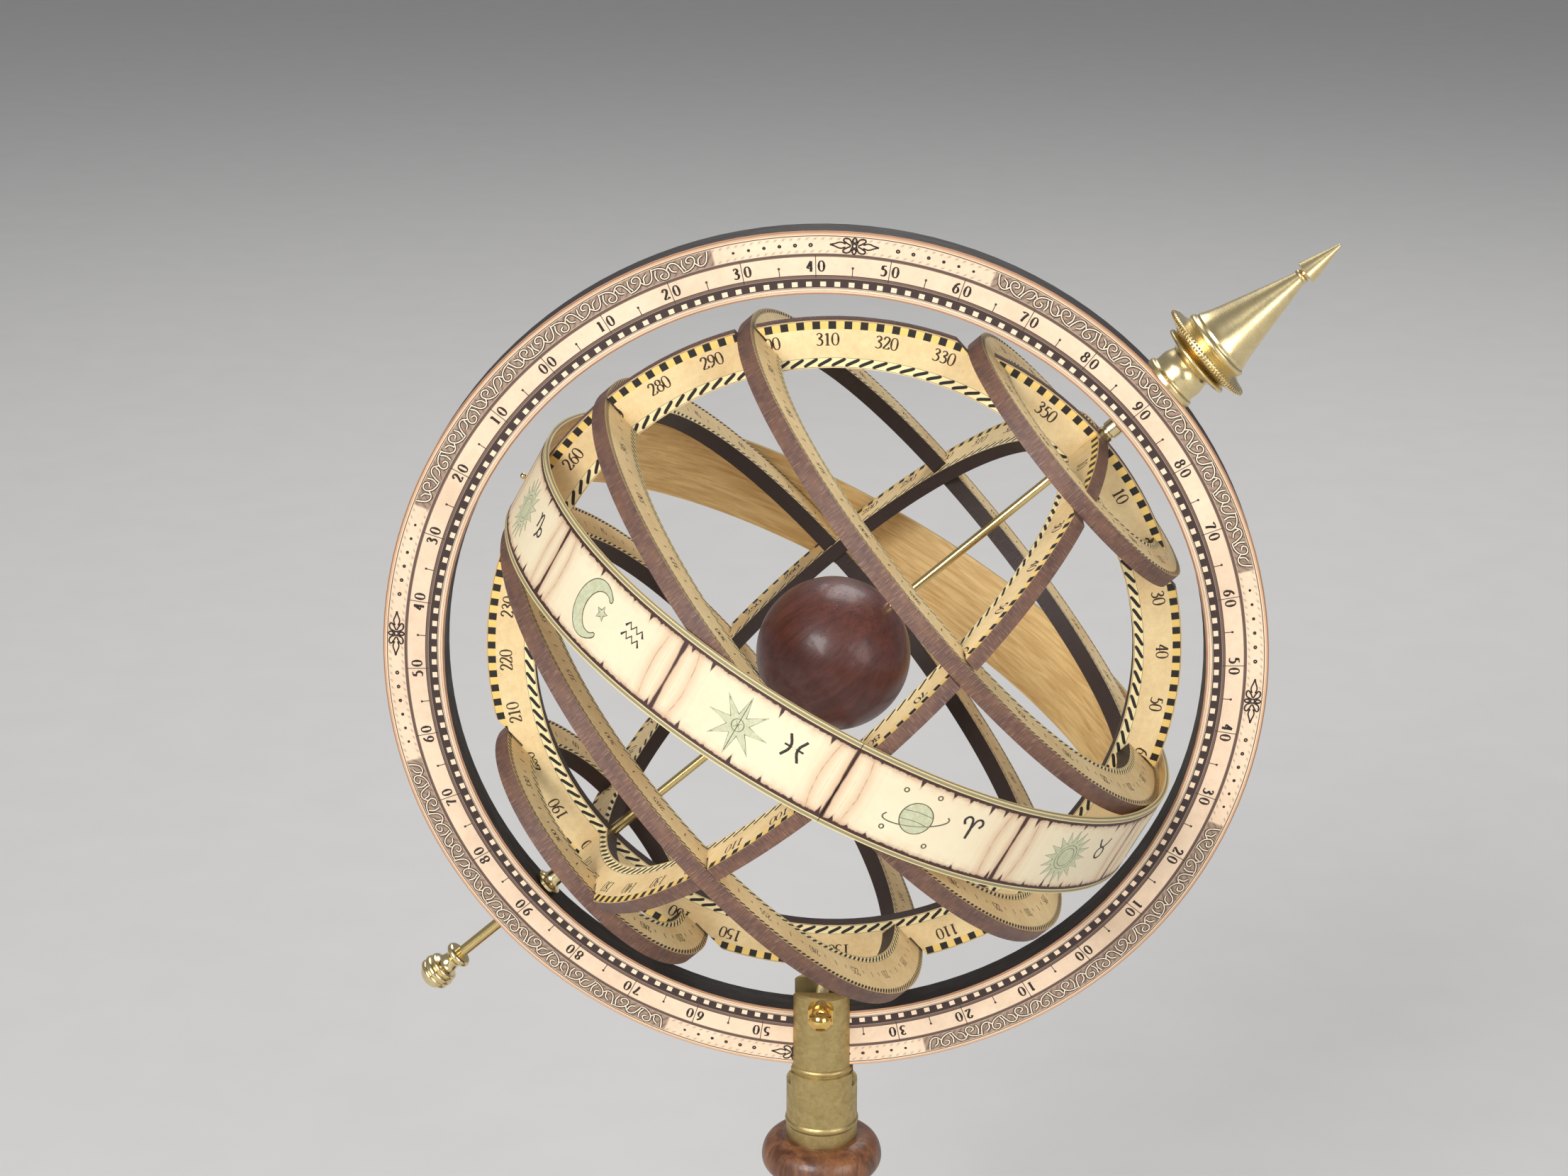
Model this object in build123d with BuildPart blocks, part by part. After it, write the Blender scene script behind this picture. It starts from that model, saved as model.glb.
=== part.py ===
"""Armillary sphere on a turned stand: one STEP file for each loose piece.

Millimetres, +Z up, origin at the middle of the stand's foot. X runs to the right along the
meridian ring, and Y runs away from the viewer. The polar rod lies in the X-Z plane.
"""
from build123d import *
from math import cos, radians, sin, sqrt
import os

os.makedirs("parts", exist_ok=True)

# Where the pole points, and where the cage sits on the rod
POLE_ELEVATION = 41.2
CAGE_TURN = 2.5
CAGE_SHIFT = 3.5

# Cage: every ring ends on one sphere
SPHERE_RADIUS = 94.3
COLURE_WIDTH = 13.0
COLURE_THICK = 4.0
HOOP_THICK = 4.6
HOOP_WIDTH = 12.0
POLAR_HOOP_WIDTH = 11.0
TROPIC_LATITUDE = 26.58
POLAR_LATITUDE = 64.06
LAP_GAP = 0.05
LAP_SLACK = 0.55

# Meridian ring
NORTH_SPACE = 5.4
MERIDIAN_WIDTH = 16.8
MERIDIAN_THICK = 10.0
RING_EDGE = 0.35
CARD_THICK = 0.3
CARD_MARGIN = 0.4

# Zodiac band
BAND_TILT = 20.25
BAND_GAP = 0.35
BAND_THICK = 1.3
BAND_HEIGHT = 23.6
BAND_SHIFT = 4.5
BAND_SEAM = 0.25
PIN_SHANK = 0.8
PIN_HEAD = 1.6
PIN_REACH = 5.0

# Polar rod, its sleeve and what sits on them
ROD = 2.4
SLEEVE = 3.1
SLEEVE_REACH = 9.3
FIXED_GAP = 0.02
RUN_GAP = 0.05
FACE_GAP = 0.1
END_GAP = 0.2
BALL_RADIUS = 21.0
BALL_COLLAR = 3.2
BALL_COLLAR_LENGTH = 2.7
COLLAR_RADIUS = 2.4
COLLAR_FLANGE = 3.9
COLLAR_LIP = 1.2
KNOB_STANDOFF = 16.0
KNOB_RADIUS = 5.1
KNOB_NECK = 2.6
KNOB_FLANGE = 3.8
KNOB_LENGTH = 13.4
ROD_IN_KNOB = 11.0
SLEEVE_IN_KNOB = 3.0

# Fork, bolt and nut
FORK_UPPER = 18.9
FORK_LOWER = 20.2
FORK_ABOVE_WALL = 6.0
FORK_STEP_DROP = 0.5
FORK_FLOOR_DROP = 6.2
FORK_FOOT_DROP = 23.8
FORK_GROOVE = 0.5
FORK_BEAD = 2.1
FORK_BEAD_RISE = 4.05
FORK_TANG = 10.0
FORK_TANG_LENGTH = 18.0
BOLT = 4.0
BOLT_GAP = 0.05
NUT_FLATS = 7.0
NUT_HEX = 3.2
NUT_HEIGHT = 8.0
NUT_DOME = 6.5
BOLT_HEAD = 7.0
BOLT_HEAD_HEIGHT = 2.6

# Stand
PAD_THICK = 1.2
PAD_MARGIN = 4.0
BASE_HEIGHT = 25.0
BASE_RADIUS = 76.0
BASE_RIM = 12.0
BASE_CROWN = 41.0
TENON = 16.0
TENON_LENGTH = 14.0
COLUMN_HEIGHT = 116.2
COLUMN_FOOT = 25.0
COLUMN_ANKLE = 11.0
COLUMN_BULB = 16.5
COLUMN_WAIST = 9.4
COLUMN_NECK = 13.6
COLUMN_FLANGE = 16.9
COLUMN_SEAT = 11.4
COLUMN_BEAD = 5.0
FLANGE_HEIGHT = 11.0

# Finial
FOOT_RADIUS = 7.9
FOOT_WAIST = 6.3
FOOT_COLLAR = 10.4
FOOT_LENGTH = 10.4
ROSETTE_RADIUS = 14.2
ROSETTE_NECK = 8.4
ROSETTE_LENGTH = 4.8
ROSETTE_TEETH = 88
TOOTH_DEPTH = 0.5
SPIRE_RING = 9.6
SPIRE_RADIUS = 9.2
SPIRE_TIP = 1.85
SPIRE_LENGTH = 30.0
ARROW_RADIUS = 3.25
ARROW_NOSE = 0.45
ARROW_LENGTH = 12.0
SPIGOT = 5.0
SPIGOT_LENGTH = 6.0

colure_inner = SPHERE_RADIUS - COLURE_WIDTH
meridian_inner = SPHERE_RADIUS + CAGE_SHIFT + NORTH_SPACE
meridian_radius = meridian_inner + MERIDIAN_WIDTH
band_inner = SPHERE_RADIUS + BAND_GAP
column_top = BASE_HEIGHT + COLUMN_HEIGHT
ring_height = column_top + FORK_FOOT_DROP + meridian_radius

ring_centre = Vector(0, 0, ring_height)
north = Vector(cos(radians(POLE_ELEVATION)), 0, sin(radians(POLE_ELEVATION)))
upright = Vector(-north.Z, 0, north.X)
cage_centre = ring_centre + north * CAGE_SHIFT
rod_axis = Axis(tuple(ring_centre), tuple(north))
mast_axis = Axis.Z

# MERIDIAN looks along -Y and has the rod along its x; CAGE has the rod along its z and
# the first colure along its x
MERIDIAN = Plane(origin=tuple(ring_centre), x_dir=tuple(north), z_dir=(0, -1, 0))
FROM_CENTRE = Plane(origin=tuple(ring_centre), x_dir=tuple(upright), z_dir=tuple(north))
turned = upright * cos(radians(CAGE_TURN)) - Vector(0, 1, 0) * sin(radians(CAGE_TURN))
CAGE = Plane(origin=tuple(cage_centre), x_dir=tuple(turned), z_dir=tuple(north))
COLURE_A = Plane(origin=CAGE.origin, x_dir=CAGE.x_dir, z_dir=-CAGE.y_dir)
COLURE_B = Plane(origin=CAGE.origin, x_dir=CAGE.y_dir, z_dir=CAGE.x_dir)
ALONG_ROD = Plane(origin=CAGE.origin, x_dir=CAGE.z_dir, z_dir=CAGE.y_dir)
band_pole = CAGE.z_dir * cos(radians(BAND_TILT)) + CAGE.x_dir * sin(radians(BAND_TILT))
band_low = CAGE.x_dir * cos(radians(BAND_TILT)) - CAGE.z_dir * sin(radians(BAND_TILT))
BAND = Plane(origin=tuple(cage_centre + band_pole * BAND_SHIFT), x_dir=tuple(band_low), z_dir=tuple(band_pole))

tropic_height = SPHERE_RADIUS * sin(radians(TROPIC_LATITUDE))
polar_height = SPHERE_RADIUS * sin(radians(POLAR_LATITUDE))
HOOPS = {
    "arctic_circle": (polar_height, POLAR_HOOP_WIDTH),
    "tropic_of_cancer": (tropic_height, HOOP_WIDTH),
    "equator_ring": (0.0, HOOP_WIDTH),
    "tropic_of_capricorn": (-tropic_height, HOOP_WIDTH),
    "antarctic_circle": (-polar_height, POLAR_HOOP_WIDTH),
}


def hoop_radius(height):
    """Outer radius of a hoop that ends on the sphere at this height."""
    return sqrt(SPHERE_RADIUS**2 - height**2)


def lap_radius(height, width):
    """Distance from the rod at which a hoop and a colure share their half-lap."""
    return hoop_radius(height) - width / 2


def hoop_slots():
    """Half-lap slots, open outward, that a colure has for the five hoops."""
    for height, width in HOOPS.values():
        start = lap_radius(height, width) + SPHERE_RADIUS / 2
        with Locations(*[(side * start, height + LAP_SLACK / 2) for side in (-1, 1)]):
            Rectangle(SPHERE_RADIUS, HOOP_THICK + 2 * LAP_GAP + LAP_SLACK, mode=Mode.SUBTRACT)


def drill(start, radius, depth):
    """Round hole in the part being built, from a plane and along its normal."""
    with BuildSketch(start, mode=Mode.PRIVATE) as mouth:
        Circle(radius)
    extrude(mouth.sketch, amount=depth, mode=Mode.SUBTRACT)


def rod_bores():
    """Holes for the rod at the north pole and for its sleeve at the south pole."""
    drill(CAGE, ROD / 2 + FIXED_GAP, SPHERE_RADIUS * 1.1)
    drill(CAGE, SLEEVE / 2 + FIXED_GAP, -SPHERE_RADIUS * 1.1)


def pin_bores(depth_from, depth):
    """Holes for the two pins that fix the zodiac band, at its lowest and highest points."""
    for side in (-1, 1):
        mouth = Plane(origin=tuple(BAND.origin + band_low * side * depth_from), z_dir=tuple(band_low * side))
        drill(mouth, PIN_SHANK / 2 + FIXED_GAP, depth)


# Stand: base, column, fork, bolt and nut
with BuildPart() as felt_pad:
    with BuildSketch(Plane.XY):
        Circle(BASE_RADIUS - PAD_MARGIN)
    extrude(amount=PAD_THICK)
felt_pad.part.label = "felt_pad"
export_step(felt_pad.part, "parts/felt_pad.step")

with BuildPart() as stand_base:
    with BuildSketch(Plane.XZ):
        with BuildLine():
            Polyline(
                (0, PAD_THICK),
                (BASE_RADIUS * 0.98, PAD_THICK),
                (BASE_RADIUS, PAD_THICK + BASE_RADIUS * 0.02),
                (BASE_RADIUS, BASE_RIM / 2),
            )
            RadiusArc((BASE_RADIUS, BASE_RIM / 2), (BASE_RADIUS * 0.96, BASE_RIM), -BASE_RIM / 3)
            Line((BASE_RADIUS * 0.96, BASE_RIM), (BASE_RADIUS * 0.91, BASE_RIM))
            Spline(
                (BASE_RADIUS * 0.91, BASE_RIM),
                ((BASE_RADIUS + BASE_CROWN) * 0.445, BASE_RIM * 0.8 + BASE_HEIGHT * 0.2),
                (BASE_CROWN, BASE_HEIGHT * 0.9),
                tangents=[(-1, 0.05), (-0.4, 1)],
            )
            Polyline(
                (BASE_CROWN, BASE_HEIGHT * 0.9),
                (BASE_CROWN * 0.96, BASE_HEIGHT),
                (0, BASE_HEIGHT),
                (0, PAD_THICK),
            )
        make_face()
    revolve(axis=mast_axis)
    drill(Plane.XY.offset(BASE_HEIGHT), TENON / 2 + FIXED_GAP, -TENON_LENGTH - END_GAP)
stand_base.part.label = "stand_base"
export_step(stand_base.part, "parts/stand_base.step")

foot_top = BASE_HEIGHT + COLUMN_BEAD
ankle = BASE_HEIGHT + COLUMN_HEIGHT * 0.155
bulb_start = ankle + COLUMN_BEAD
waist = BASE_HEIGHT + COLUMN_HEIGHT * 0.6
vase_start = waist + COLUMN_BEAD * 0.8
neck = column_top - FLANGE_HEIGHT
with BuildPart() as stand_column:
    with BuildSketch(Plane.XZ):
        with BuildLine():
            Line((0, BASE_HEIGHT), (COLUMN_FOOT, BASE_HEIGHT))
            RadiusArc((COLUMN_FOOT, BASE_HEIGHT), (COLUMN_FOOT, foot_top), -COLUMN_BEAD * 0.52)
            Line((COLUMN_FOOT, foot_top), (COLUMN_FOOT * 0.88, foot_top))
            Spline(
                (COLUMN_FOOT * 0.88, foot_top),
                (COLUMN_ANKLE * 1.2, (foot_top + ankle) / 2),
                (COLUMN_ANKLE, ankle),
                tangents=[(-1, 0.15), (0, 1)],
            )
            RadiusArc((COLUMN_ANKLE, ankle), (COLUMN_ANKLE, bulb_start), -COLUMN_BEAD * 0.52)
            Spline(
                (COLUMN_ANKLE, bulb_start),
                (COLUMN_BULB, bulb_start * 0.68 + waist * 0.32),
                (COLUMN_WAIST * 1.2, bulb_start * 0.26 + waist * 0.74),
                (COLUMN_WAIST, waist),
                tangents=[(0.9, 0.7), (0, 1)],
            )
            RadiusArc((COLUMN_WAIST, waist), (COLUMN_WAIST, vase_start), -COLUMN_BEAD * 0.43)
            Spline(
                (COLUMN_WAIST, vase_start),
                ((COLUMN_WAIST * 2 + COLUMN_NECK) / 3, vase_start * 0.65 + neck * 0.35),
                (COLUMN_NECK, neck),
                tangents=[(0, 1), (0.25, 1)],
            )
            Spline(
                (COLUMN_NECK, neck),
                (COLUMN_FLANGE, column_top - FLANGE_HEIGHT * 0.42),
                (COLUMN_SEAT, column_top),
                tangents=[(1, 0.3), (-1, 0.25)],
            )
            Polyline((COLUMN_SEAT, column_top), (0, column_top), (0, BASE_HEIGHT))
        make_face()
    revolve(axis=mast_axis)
    with BuildSketch(Plane.XY.offset(BASE_HEIGHT)):
        Circle(TENON / 2)
    extrude(amount=-TENON_LENGTH)
    drill(Plane.XY.offset(column_top), FORK_TANG / 2 + FIXED_GAP, -FORK_TANG_LENGTH - END_GAP)
stand_column.part.label = "stand_column"
export_step(stand_column.part, "parts/stand_column.step")

fork_floor = ring_height - meridian_radius - FORK_FLOOR_DROP
fork_step = ring_height - meridian_radius - FORK_STEP_DROP
fork_top = ring_height - meridian_inner + FORK_ABOVE_WALL
bolt_height = ring_height - meridian_inner + BOLT / 2 + BOLT_GAP
lower = FORK_LOWER / 2
upper = FORK_UPPER / 2
with BuildPart() as ring_fork:
    with BuildSketch(Plane.XZ):
        with BuildLine():
            Polyline(
                (0, column_top),
                (lower, column_top),
                (lower, column_top + FORK_BEAD_RISE),
            )
            RadiusArc(
                (lower, column_top + FORK_BEAD_RISE),
                (lower, column_top + FORK_BEAD_RISE + FORK_BEAD),
                -FORK_BEAD * 0.75,
            )
            Polyline(
                (lower, column_top + FORK_BEAD_RISE + FORK_BEAD),
                (lower, fork_step - 1.6),
                (lower - FORK_GROOVE, fork_step - 1.3),
                (lower - FORK_GROOVE, fork_step - 1.0),
            )
            RadiusArc((lower - FORK_GROOVE, fork_step - 1.0), (upper, fork_step + 0.7), -1.0)
            Polyline(
                (upper, fork_step + 0.7),
                (upper, fork_top - 0.6),
                (upper - 0.6, fork_top),
                (0, fork_top),
                (0, column_top),
            )
        make_face()
    revolve(axis=mast_axis)
    with BuildSketch(Plane.XY.offset(column_top)):
        Circle(FORK_TANG / 2)
    extrude(amount=-FORK_TANG_LENGTH)
    with BuildSketch(Plane.XY.offset(fork_floor)):
        Rectangle(FORK_LOWER * 2, MERIDIAN_THICK + 2 * FACE_GAP)
    extrude(amount=fork_top - fork_floor + 1, mode=Mode.SUBTRACT)
    with BuildSketch(Plane.XZ):
        with Locations((0, bolt_height)):
            Circle(BOLT / 2 + BOLT_GAP)
    extrude(amount=FORK_LOWER, both=True, mode=Mode.SUBTRACT)
ring_fork.part.label = "ring_fork"
export_step(ring_fork.part, "parts/ring_fork.step")

BOLT_LINE = Plane(origin=(0, 0, bolt_height), x_dir=(0, -1, 0), z_dir=(1, 0, 0))
bolt_axis = Axis((0, 0, bolt_height), (0, -1, 0))
fork_face = FORK_UPPER / 2
with BuildPart() as clamp_bolt:
    with BuildSketch(BOLT_LINE):
        with BuildLine():
            Polyline(
                (-fork_face - BOLT_HEAD_HEIGHT, 0),
                (-fork_face - BOLT_HEAD_HEIGHT, BOLT_HEAD / 2 - 1.4),
            )
            RadiusArc(
                (-fork_face - BOLT_HEAD_HEIGHT, BOLT_HEAD / 2 - 1.4),
                (-fork_face - 0.7, BOLT_HEAD / 2),
                2.6,
            )
            Polyline(
                (-fork_face - 0.7, BOLT_HEAD / 2),
                (-fork_face, BOLT_HEAD / 2),
                (-fork_face, BOLT / 2),
                (fork_face + NUT_HEX + 1.8, BOLT / 2),
                (fork_face + NUT_HEX + 2.2, BOLT / 2 - 0.4),
                (fork_face + NUT_HEX + 2.2, 0),
                (-fork_face - BOLT_HEAD_HEIGHT, 0),
            )
        make_face()
    revolve(axis=bolt_axis)
clamp_bolt.part.label = "clamp_bolt"
export_step(clamp_bolt.part, "parts/clamp_bolt.step")

NUT_FACE = Plane(origin=(0, -fork_face, bolt_height), x_dir=(1, 0, 0), z_dir=(0, -1, 0))
dome_top = fork_face + NUT_HEIGHT
with BuildPart() as acorn_nut:
    with BuildSketch(NUT_FACE):
        RegularPolygon(NUT_FLATS / 2, 6, major_radius=False, rotation=90)
    extrude(amount=NUT_HEX)
    with BuildSketch(BOLT_LINE):
        with BuildLine():
            Polyline((fork_face, 0), (fork_face, NUT_DOME / 2), (dome_top - NUT_DOME / 2, NUT_DOME / 2))
            RadiusArc((dome_top - NUT_DOME / 2, NUT_DOME / 2), (dome_top, 0), NUT_DOME / 2)
            Line((dome_top, 0), (fork_face, 0))
        make_face()
    revolve(axis=bolt_axis)
    with BuildSketch(NUT_FACE):
        Circle(BOLT / 2 + FIXED_GAP)
    extrude(amount=NUT_HEX + 2.4, mode=Mode.SUBTRACT)
acorn_nut.part.label = "acorn_nut"
export_step(acorn_nut.part, "parts/acorn_nut.step")

# Meridian: ring, two printed cards and the finial
core_thick = MERIDIAN_THICK - 2 * CARD_THICK
foot_plane = FROM_CENTRE.offset(meridian_radius)
with BuildPart() as meridian_ring:
    with BuildSketch(MERIDIAN):
        Circle(meridian_radius)
        Circle(meridian_inner, mode=Mode.SUBTRACT)
    extrude(amount=core_thick / 2, both=True)
    chamfer(meridian_ring.edges().filter_by(GeomType.CIRCLE).group_by(SortBy.RADIUS)[-1], RING_EDGE)
    drill(FROM_CENTRE, ROD / 2 + RUN_GAP, meridian_radius + 5)
    drill(foot_plane.offset(5), SPIGOT / 2 + FIXED_GAP, -5 - SPIGOT_LENGTH - END_GAP)
    drill(FROM_CENTRE, SLEEVE / 2 + RUN_GAP, -meridian_radius - 5)
meridian_ring.part.label = "meridian_ring"
export_step(meridian_ring.part, "parts/meridian_ring.step")

for card_name, side in (("front_scale_card", 1), ("rear_scale_card", -1)):
    with BuildPart() as scale_card:
        with BuildSketch(MERIDIAN.offset(side * core_thick / 2)):
            Circle(meridian_radius - CARD_MARGIN)
            Circle(meridian_inner + CARD_MARGIN, mode=Mode.SUBTRACT)
        extrude(amount=side * CARD_THICK)
    scale_card.part.label = card_name
    export_step(scale_card.part, f"parts/{card_name}.step")

# The finial's profiles: x runs out from the ring's centre along the rod
foot = meridian_radius
rosette_start = foot + FOOT_LENGTH
spire_start = rosette_start + ROSETTE_LENGTH
spire_end = spire_start + SPIRE_LENGTH
rod_north = rosette_start - END_GAP
with BuildPart() as finial_foot:
    with BuildSketch(MERIDIAN):
        with BuildLine():
            Polyline((foot - 1, 0), (foot - 1, FOOT_RADIUS), (foot + 0.9, FOOT_RADIUS))
            RadiusArc((foot + 0.9, FOOT_RADIUS), (foot + 1.5, FOOT_RADIUS - 0.5), 0.6)
            Spline(
                (foot + 1.5, FOOT_RADIUS - 0.5),
                (foot + 4.0, FOOT_WAIST + 0.75),
                (rosette_start - 3.2, FOOT_WAIST),
                tangents=[(0.2, -0.8), (1, -0.3)],
            )
            Spline(
                (rosette_start - 3.2, FOOT_WAIST),
                (rosette_start - 2.2, FOOT_WAIST + 0.8),
                (rosette_start - 1.4, FOOT_COLLAR - 0.2),
                tangents=[(1, 0.3), (0.2, 1)],
            )
            RadiusArc((rosette_start - 1.4, FOOT_COLLAR - 0.2), (rosette_start - 0.4, FOOT_COLLAR - 0.2), 0.55)
            Polyline(
                (rosette_start - 0.4, FOOT_COLLAR - 0.2),
                (rosette_start, ROSETTE_NECK),
                (rosette_start, 0),
                (foot - 1, 0),
            )
        make_face()
    revolve(axis=rod_axis)
    with BuildSketch(Plane.XZ):
        with Locations((0, ring_height)):
            Circle(meridian_radius + 0.01)
    extrude(amount=2 * FOOT_RADIUS, both=True, mode=Mode.SUBTRACT)
    with BuildSketch(foot_plane.offset(-SPIGOT_LENGTH)):
        Circle(SPIGOT / 2)
    extrude(amount=SPIGOT_LENGTH + 1)
    drill(foot_plane.offset(-SPIGOT_LENGTH - 1), ROD / 2 + RUN_GAP, SPIGOT_LENGTH + FOOT_LENGTH + 2)
finial_foot.part.label = "finial_foot"
export_step(finial_foot.part, "parts/finial_foot.step")

rim = rosette_start + ROSETTE_LENGTH * 0.42
rim_end = rim + ROSETTE_LENGTH * 0.27
with BuildPart() as finial_rosette:
    with BuildSketch(MERIDIAN):
        with BuildLine():
            Polyline((rosette_start, 0), (rosette_start, ROSETTE_NECK))
            Spline(
                (rosette_start, ROSETTE_NECK),
                (rim - 1.2, ROSETTE_RADIUS - 3.4),
                (rim, ROSETTE_RADIUS - 0.3),
                tangents=[(0.3, 1), (0.6, 1)],
            )
            RadiusArc((rim, ROSETTE_RADIUS - 0.3), (rim_end, ROSETTE_RADIUS - 0.3), (rim_end - rim) * 0.55)
            Spline(
                (rim_end, ROSETTE_RADIUS - 0.3),
                (rim_end + 0.3, ROSETTE_RADIUS - 2.1),
                (spire_start, SPIRE_RING),
                tangents=[(-0.1, -1), (0.7, -0.7)],
            )
            Polyline((spire_start, SPIRE_RING), (spire_start, 0), (rosette_start, 0))
        make_face()
    revolve(axis=rod_axis)
    with BuildSketch(FROM_CENTRE.offset(rim - 0.5)):
        with PolarLocations(ROSETTE_RADIUS, ROSETTE_TEETH):
            Rectangle(2 * TOOTH_DEPTH, TOOTH_DEPTH * 0.8)
    extrude(amount=rim_end - rim + 1.0, mode=Mode.SUBTRACT)
finial_rosette.part.label = "finial_rosette"
export_step(finial_rosette.part, "parts/finial_rosette.step")

with BuildPart() as finial_spire:
    with BuildSketch(MERIDIAN):
        with BuildLine():
            Polyline((spire_start, 0), (spire_start, SPIRE_RING))
            RadiusArc((spire_start, SPIRE_RING), (spire_start + 1.9, SPIRE_RING - 0.3), 1.0)
            Polyline(
                (spire_start + 1.9, SPIRE_RING - 0.3),
                (spire_start + 2.1, SPIRE_RADIUS),
                (spire_start + 2.8, SPIRE_RADIUS),
            )
            Spline(
                (spire_start + 2.8, SPIRE_RADIUS),
                (spire_start + SPIRE_LENGTH * 0.2, SPIRE_RADIUS * 0.87),
                (spire_start + SPIRE_LENGTH * 0.4, SPIRE_RADIUS * 0.685),
                (spire_end - 1.5, SPIRE_TIP),
                tangents=[(1, -0.5), (1, -0.26)],
            )
            RadiusArc((spire_end - 1.5, SPIRE_TIP), (spire_end - 0.3, SPIRE_TIP), 0.7)
            Polyline((spire_end - 0.3, SPIRE_TIP), (spire_end, SPIRE_TIP - 0.4), (spire_end, 0), (spire_start, 0))
        make_face()
    revolve(axis=rod_axis)
finial_spire.part.label = "finial_spire"
export_step(finial_spire.part, "parts/finial_spire.step")

arrow_tip = spire_end + ARROW_LENGTH
nose_start = arrow_tip - ARROW_NOSE * 0.76
nose_radius = ARROW_NOSE * sqrt(1 - 0.24**2)
with BuildPart() as finial_arrow:
    with BuildSketch(MERIDIAN):
        with BuildLine():
            Polyline(
                (spire_end, 0),
                (spire_end, SPIRE_TIP * 0.8),
                (spire_end + 0.5, SPIRE_TIP * 0.8),
                (spire_end + 0.5, ARROW_RADIUS - 0.2),
                (spire_end + 0.7, ARROW_RADIUS),
                (nose_start, nose_radius),
            )
            RadiusArc((nose_start, nose_radius), (arrow_tip, 0), ARROW_NOSE)
            Line((arrow_tip, 0), (spire_end, 0))
        make_face()
    revolve(axis=rod_axis)
finial_arrow.part.label = "finial_arrow"
export_step(finial_arrow.part, "parts/finial_arrow.step")

# Cage: two colures and five hoops, half-lapped where they cross
pole_lap = (SPHERE_RADIUS + colure_inner) / 2
lap_width = COLURE_THICK + 2 * LAP_GAP
with BuildPart() as solstitial_colure:
    with BuildSketch(COLURE_A):
        Circle(SPHERE_RADIUS)
        Circle(colure_inner, mode=Mode.SUBTRACT)
        hoop_slots()
        with Locations((0, pole_lap + COLURE_WIDTH), (0, -pole_lap - COLURE_WIDTH)):
            Rectangle(lap_width, 2 * COLURE_WIDTH, mode=Mode.SUBTRACT)
    extrude(amount=COLURE_THICK / 2, both=True)
    rod_bores()
    pin_bores(band_inner - PIN_REACH, PIN_REACH + 2)
solstitial_colure.part.label = "solstitial_colure"
export_step(solstitial_colure.part, "parts/solstitial_colure.step")

with BuildPart() as equinoctial_colure:
    with BuildSketch(COLURE_B):
        Circle(SPHERE_RADIUS)
        Circle(colure_inner, mode=Mode.SUBTRACT)
        hoop_slots()
        Rectangle(lap_width, 2 * pole_lap, mode=Mode.SUBTRACT)
    extrude(amount=COLURE_THICK / 2, both=True)
    rod_bores()
equinoctial_colure.part.label = "equinoctial_colure"
export_step(equinoctial_colure.part, "parts/equinoctial_colure.step")

for hoop_name, (height, width) in HOOPS.items():
    reach = 2 * lap_radius(height, width)
    with BuildPart() as hoop:
        with BuildSketch(CAGE.offset(height)):
            Circle(hoop_radius(height))
            Circle(hoop_radius(height) - width, mode=Mode.SUBTRACT)
            Rectangle(reach, lap_width, mode=Mode.SUBTRACT)
            Rectangle(lap_width, reach, mode=Mode.SUBTRACT)
        extrude(amount=HOOP_THICK / 2, both=True)
    hoop.part.label = hoop_name
    export_step(hoop.part, f"parts/{hoop_name}.step")

# Zodiac band with its seam and two pins
with BuildPart() as zodiac_band:
    with BuildSketch(BAND):
        Circle(band_inner + BAND_THICK)
        Circle(band_inner, mode=Mode.SUBTRACT)
        with Locations((0, band_inner + BAND_THICK / 2)):
            Rectangle(BAND_SEAM, 4 * BAND_THICK, mode=Mode.SUBTRACT)
    extrude(amount=BAND_HEIGHT / 2, both=True)
    pin_bores(band_inner - BAND_THICK, 3 * BAND_THICK)
zodiac_band.part.label = "zodiac_band"
export_step(zodiac_band.part, "parts/zodiac_band.step")

pin_foot = band_inner - PIN_REACH + 0.4
pin_neck = band_inner + BAND_THICK + 0.3
pin_ball = pin_neck + sqrt(PIN_HEAD**2 - PIN_SHANK**2) / 2
with BuildPart() as band_pins:
    for side in (-1, 1):
        outward = band_low * side
        pin_line = Plane(origin=BAND.origin, x_dir=tuple(outward), z_dir=tuple(band_pole))
        with BuildSketch(pin_line):
            with BuildLine():
                Polyline((pin_foot, 0), (pin_foot, PIN_SHANK / 2), (pin_neck, PIN_SHANK / 2))
                ThreePointArc(
                    (pin_neck, PIN_SHANK / 2),
                    (pin_ball, PIN_HEAD / 2),
                    (pin_ball + PIN_HEAD / 2, 0),
                )
                Line((pin_ball + PIN_HEAD / 2, 0), (pin_foot, 0))
            make_face()
        revolve(axis=Axis(tuple(BAND.origin), tuple(outward)))
band_pins.part.label = "band_pins"
export_step(band_pins.part, "parts/band_pins.step")

# Rod, sleeve, knob, collars and the ball
knob_start = meridian_radius + KNOB_STANDOFF
rod_south = knob_start + ROD_IN_KNOB
with BuildPart() as polar_rod:
    with BuildSketch(FROM_CENTRE.offset(-rod_south)):
        Circle(ROD / 2)
    extrude(amount=rod_south + rod_north)
    chamfer(polar_rod.edges().filter_by(GeomType.CIRCLE), 0.3)
polar_rod.part.label = "polar_rod"
export_step(polar_rod.part, "parts/polar_rod.step")

sleeve_north = CAGE_SHIFT - (colure_inner - SLEEVE_REACH)
with BuildPart() as drive_sleeve:
    with BuildSketch(FROM_CENTRE.offset(sleeve_north)):
        Circle(SLEEVE / 2)
        Circle(ROD / 2 + FIXED_GAP, mode=Mode.SUBTRACT)
    extrude(amount=-(knob_start + SLEEVE_IN_KNOB + sleeve_north))
drive_sleeve.part.label = "drive_sleeve"
export_step(drive_sleeve.part, "parts/drive_sleeve.step")

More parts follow.
